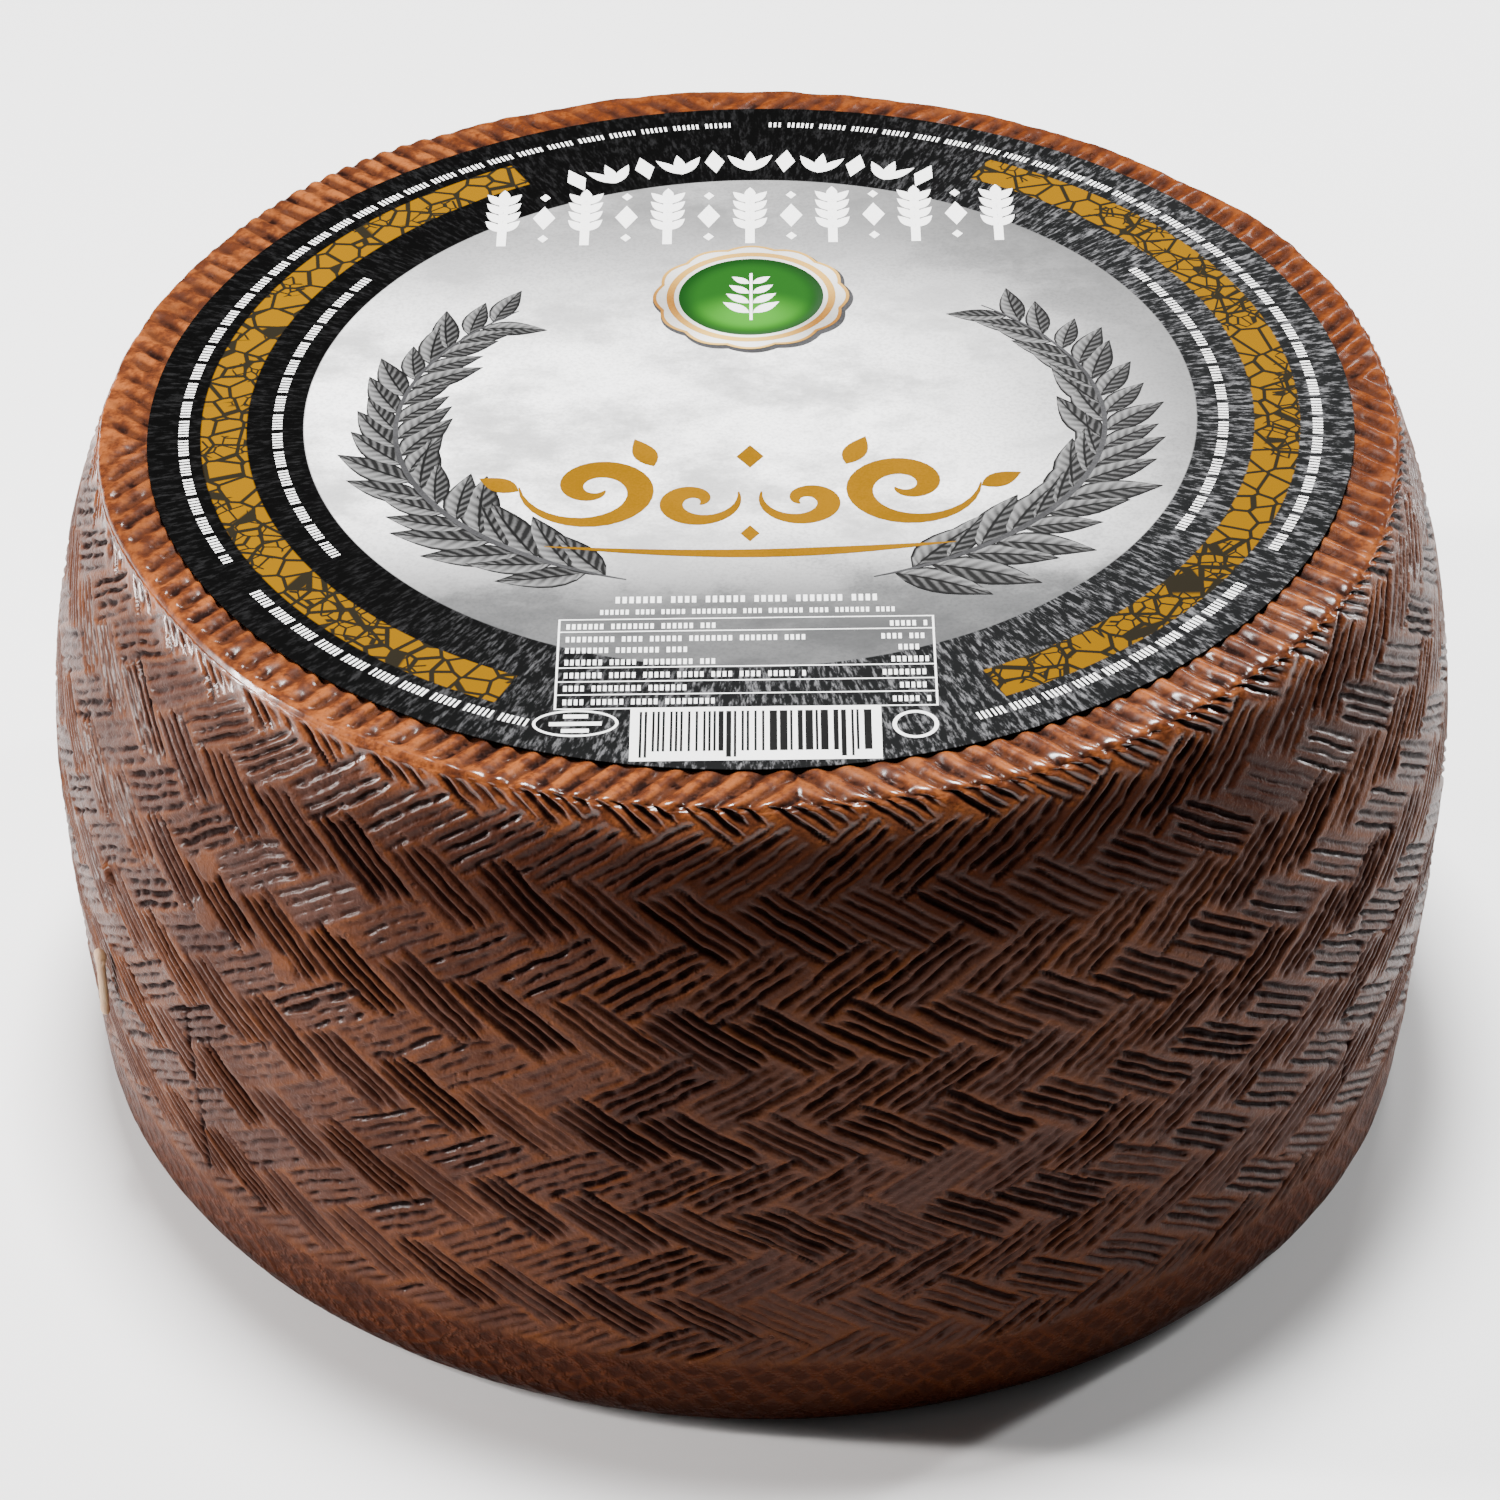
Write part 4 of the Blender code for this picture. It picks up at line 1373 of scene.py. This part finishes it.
def make_straw(settings):
    """The scrap of straw: a short bent stem with a forked knot at its upper end."""
    low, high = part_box("straw")
    middle = (low + high) / 2
    bearing = math.atan2(middle.x, -middle.y)
    outwards = Vector((math.sin(bearing), -math.cos(bearing), 0.0))
    sideways = Vector((math.cos(bearing), math.sin(bearing), 0.0))
    length = high.z - low.z
    rings, sides = 33, 20
    draw = random.Random(settings.seed)
    wobble = [draw.uniform(-1, 1) for _ in range(rings)]
    bm = bmesh.new()
    lines = []
    for step in range(rings):
        share = step / (rings - 1)
        closing = math.sqrt(max(0.0, 1 - (2 * share - 1) ** 12))
        knot = math.exp(-(((share - 0.9) / 0.07) ** 2)) + 0.5 * math.exp(-(((share - 0.05) / 0.05) ** 2))
        radius = (0.74 + 0.46 * knot + 0.04 * wobble[step]) * MM * max(closing, 0.02)
        bend = 0.35 * MM * math.sin(math.pi * share)
        centre = Vector((middle.x, middle.y, low.z + length * share)) + sideways * bend
        line = []
        for side in range(sides):
            angle = math.tau * side / sides
            fork = 1 - 0.32 * knot * max(0.0, math.sin(angle)) ** 4
            flat = outwards * math.sin(angle) * 0.85 + sideways * math.cos(angle) * 1.1
            line.append(bm.verts.new(centre + flat * radius * fork))
        lines.append(line)
    for below, above in zip(lines, lines[1:]):
        for i in range(sides):
            after = (i + 1) % sides
            bm.faces.new((below[i], below[after], above[after], above[i]))
    bm.faces.new(list(reversed(lines[0])))
    bm.faces.new(lines[-1])
    mesh = closed_mesh("straw_scrap", bm)
    mesh.shade_smooth()
    mesh.materials.append(straw_material(settings))
    wear_part(link_object("straw_scrap", mesh), "straw")


def make_underside(material, foot_ring):
    """The face the wheel rests on, with the press's ridges on it as on the top, shallower."""
    reach = np.hypot(foot_ring[:, 0], foot_ring[:, 1])
    radius = float(reach.max())
    rows, columns = 6 * HALF_RIDGES + 1, 14
    along, across = wedge_points(radius, rows, columns)
    points, triangles = [], []
    for quarter in range(QUARTERS):
        middle = JOIN_AZIMUTH + HALF_QUARTER + quarter * QUARTER_TURN
        x = along * math.sin(middle) + across * math.cos(middle)
        y = -along * math.cos(middle) + across * math.sin(middle)
        outer = np.hypot(x, y) / radius
        fade = np.clip((1 - outer) * 30, 0, 1)
        depth = 0.35 * MM * fade * (0.5 + 0.5 * np.cos(np.pi * across / RIDGE_SPACING))
        turn = np.arctan2(x, -y) % math.tau * (COLUMNS / math.tau)
        share = np.interp(turn, np.arange(COLUMNS + 1), np.append(reach, reach[0])) / radius
        start = quarter * rows * columns
        points.append(np.stack([x * share, y * share, depth], -1).reshape(-1, 3))
        index = start + np.arange(rows * columns).reshape(rows, columns)
        a, b, c, d = index[:-1, :-1], index[1:, :-1], index[1:, 1:], index[:-1, 1:]
        triangles.append(np.stack([a, b, c], -1).reshape(-1, 3))
        triangles.append(np.stack([a, c, d], -1).reshape(-1, 3))
    mesh = mesh_from("underside", np.concatenate(points), np.concatenate(triangles))
    bm = bmesh.new()
    bm.from_mesh(mesh)
    bmesh.ops.remove_doubles(bm, verts=bm.verts, dist=0.005 * MM)
    if sum(face.normal.z * face.calc_area() for face in bm.faces) > 0:
        bmesh.ops.reverse_faces(bm, faces=bm.faces)
    bm.to_mesh(mesh)
    bm.free()
    mesh.materials.append(material)
    wear_part(link_object("underside", mesh), "cheese")


def make_floor(settings):
    """The plain pale floor, just below the wheel."""
    bpy.ops.mesh.primitive_plane_add(size=FLOOR_SIZE, location=(0, 0, -FLOOR_BELOW))
    floor = bpy.context.active_object
    floor.name = "floor"
    material, tree, shader, place = new_material("Pale floor")
    shade = noise(tree, place, 0.4, 2.0)
    darker = [part * 0.97 for part in settings.floor_colour]
    paint(tree, shader, colour_mix(tree, shade, settings.floor_colour, darker), 0.9)
    floor.data.materials.append(material)


def make_light(name, place, size, power, colour):
    """A soft rectangular light that faces the wheel."""
    lamp = bpy.data.lights.new(name, "AREA")
    lamp.shape = "RECTANGLE"
    lamp.size, lamp.size_y = size
    lamp.energy = power
    lamp.color = colour
    made = bpy.data.objects.new(name, lamp)
    bpy.context.scene.collection.objects.link(made)
    made.location = place
    made.rotation_mode = "QUATERNION"
    made.rotation_quaternion = (LIGHT_AIM - Vector(place)).to_track_quat("-Z", "Y")


def make_camera():
    """The camera, at the photograph's viewing angle."""
    lens = bpy.data.cameras.new("camera")
    lens.lens = CAMERA_LENS
    lens.sensor_width = CAMERA_SENSOR
    camera = bpy.data.objects.new("camera", lens)
    bpy.context.scene.collection.objects.link(camera)
    camera.location = CAMERA_PLACE
    camera.rotation_euler = (CAMERA_TILT, 0, 0)
    bpy.context.scene.camera = camera


def make_world(settings):
    """The even light of the room."""
    world = bpy.data.worlds.new("Studio")
    world.use_nodes = True
    background = world.node_tree.nodes["Background"]
    background.inputs["Color"].default_value = (1, 1, 1, 1)
    background.inputs["Strength"].default_value = settings.room_light
    bpy.context.scene.world = world


class RindSettings(bpy.types.PropertyGroup):
    """Sizes and colours of the rind"""

    row_height: FloatProperty(
        name="Row height", description="Height of one row of the braid", default=ROW_HEIGHT, unit="LENGTH"
    )
    groove_depth: FloatProperty(
        name="Groove depth", description="Deepest stroke of the braid", default=0.95 * MM, unit="LENGTH"
    )
    ridge_depth: FloatProperty(
        name="Ridge depth", description="Depth of the ridges on the top", default=0.7 * MM, unit="LENGTH"
    )
    edge_rounding: FloatProperty(
        name="Edge rounding", description="How far the top edge is rounded", default=1.1 * MM, unit="LENGTH"
    )
    seed: IntProperty(name="Seed", description="Draws the unevenness of the strokes", default=4, min=0)
    roughness: FloatProperty(
        name="Roughness", description="How dull the wax is", default=0.38, min=0, max=1, subtype="FACTOR"
    )
    web_colour: FloatVectorProperty(
        name="Web", description="Smooth wax between the bundles", default=(0.112, 0.035, 0.010),
        subtype="COLOR",
    )
    body_colour: FloatVectorProperty(
        name="Bundles", description="Wax on the crests of the braid", default=(0.060, 0.0255, 0.0175),
        subtype="COLOR",
    )
    rim_colour: FloatVectorProperty(
        name="Rim", description="Thinner wax on the rim and its ridges", default=(0.222, 0.068, 0.018),
        subtype="COLOR",
    )
    deep_colour: FloatVectorProperty(
        name="Deep wax", description="Redder mottling on the rim and the foot", default=(0.105, 0.025, 0.005),
        subtype="COLOR",
    )
    # Darker wax, and also the colour of the painted shade under the rim, at the lower right, near the floor
    # and in the strokes
    dark_wax_and_shade_colour: FloatVectorProperty(
        name="Dark wax", description="Patches of darker wax", default=(0.024, 0.0062, 0.0028), subtype="COLOR"
    )
    gloss: FloatProperty(
        name="Gloss", description="How much clear wax shines on the crests", default=0.28, min=0, max=1,
        subtype="FACTOR",
    )
    purple_colour: FloatVectorProperty(
        name="Purple wax", description="Duller mottling in the wax", default=(0.036, 0.0115, 0.0065),
        subtype="COLOR",
    )
    # Near-black wax in the strokes and grooves, darkened further as painted shade in them
    groove_wax_and_shade_colour: FloatVectorProperty(
        name="Grooves", description="Wax in the strokes", default=(0.0085, 0.0028, 0.0020), subtype="COLOR"
    )


class LabelSettings(bpy.types.PropertyGroup):
    """Inks of the label"""

    gold_colour: FloatVectorProperty(
        name="Gold", description="Ink of the cracked band", default=(0.152, 0.070, 0.0), subtype="COLOR"
    )
    script_colour: FloatVectorProperty(
        name="Gold ink", description="Ink of the flourish", default=(0.175, 0.079, 0.0), subtype="COLOR"
    )
    white_colour: FloatVectorProperty(
        name="White ink", description="Ink of the frieze and the dashes", default=(0.94, 0.94, 0.93),
        subtype="COLOR",
    )
    seed: IntProperty(name="Seed", description="Draws the bars of the panels", default=9, min=0)


class StrawSettings(bpy.types.PropertyGroup):
    """The scrap of straw"""

    colour: FloatVectorProperty(
        name="Straw", description="Dry straw", default=(0.42, 0.28, 0.15), subtype="COLOR"
    )
    seed: IntProperty(name="Seed", description="Draws the straw's unevenness", default=3, min=0)


class StageSettings(bpy.types.PropertyGroup):
    """The floor and the room's light"""

    floor_colour: FloatVectorProperty(
        name="Floor", description="The plain pale floor", default=(0.88, 0.88, 0.88), subtype="COLOR"
    )
    room_light: FloatProperty(
        name="Room light", description="Strength of the even light", default=0.06, min=0
    )


class CHEESE_OT_rind(bpy.types.Operator):
    """Makes the rind: the ridged rim, the braided side, the foot and the underside"""

    bl_idname = "cheese.rind"
    bl_label = "Make the rind"

    def execute(self, context):
        material, foot_ring = make_rind(context.scene.cheese_rind)
        make_underside(material, foot_ring)
        return {"FINISHED"}


class CHEESE_OT_label(bpy.types.Operator):
    """Makes the paper label with its printed grounds"""

    bl_idname = "cheese.label"
    bl_label = "Make the label"

    def execute(self, context):
        make_label_paper(context.scene.cheese_label)
        return {"FINISHED"}


class CHEESE_OT_print(bpy.types.Operator):
    """Makes the print on the label: seal, frieze, flourish, wreath, panels and dashes"""

    bl_idname = "cheese.print"
    bl_label = "Make the print"

    def execute(self, context):
        settings = context.scene.cheese_label
        ink_material("White ink", settings.white_colour, 0.94)
        make_seal()
        make_frieze()
        make_flourish(settings)
        make_panels(settings)
        make_dashes()
        make_wreath()
        return {"FINISHED"}


class CHEESE_OT_straw(bpy.types.Operator):
    """Makes the scrap of straw on the rind"""

    bl_idname = "cheese.straw"
    bl_label = "Make the straw"

    def execute(self, context):
        make_straw(context.scene.cheese_straw)
        return {"FINISHED"}


class CHEESE_OT_stage(bpy.types.Operator):
    """Makes the floor, the lights and the camera"""

    bl_idname = "cheese.stage"
    bl_label = "Make the stage"

    def execute(self, context):
        settings = context.scene.cheese_stage
        make_floor(settings)
        make_world(settings)
        for light in LIGHTS:
            make_light(*light)
        make_camera()
        return {"FINISHED"}


class CHEESE_PT_panel(bpy.types.Panel):
    """The cheese wheel's makers"""

    bl_label = "Cheese wheel"
    bl_space_type = "VIEW_3D"
    bl_region_type = "UI"
    bl_category = "Cheese"

    def draw(self, context):
        for operator in OPERATORS:
            self.layout.operator(operator.bl_idname)


SETTINGS = {
    "cheese_rind": RindSettings,
    "cheese_label": LabelSettings,
    "cheese_straw": StrawSettings,
    "cheese_stage": StageSettings,
}
OPERATORS = (CHEESE_OT_rind, CHEESE_OT_label, CHEESE_OT_print, CHEESE_OT_straw, CHEESE_OT_stage)


def register():
    for group in (*SETTINGS.values(), *OPERATORS, CHEESE_PT_panel):
        bpy.utils.register_class(group)
    for name, group in SETTINGS.items():
        setattr(bpy.types.Scene, name, PointerProperty(type=group))


def unregister():
    for name in SETTINGS:
        delattr(bpy.types.Scene, name)
    for group in (CHEESE_PT_panel, *reversed(OPERATORS), *SETTINGS.values()):
        bpy.utils.unregister_class(group)


def main():
    register()
    bpy.ops.cheese.rind()
    bpy.ops.cheese.label()
    bpy.ops.cheese.print()
    bpy.ops.cheese.straw()
    bpy.ops.cheese.stage()


if __name__ == "__main__":
    main()
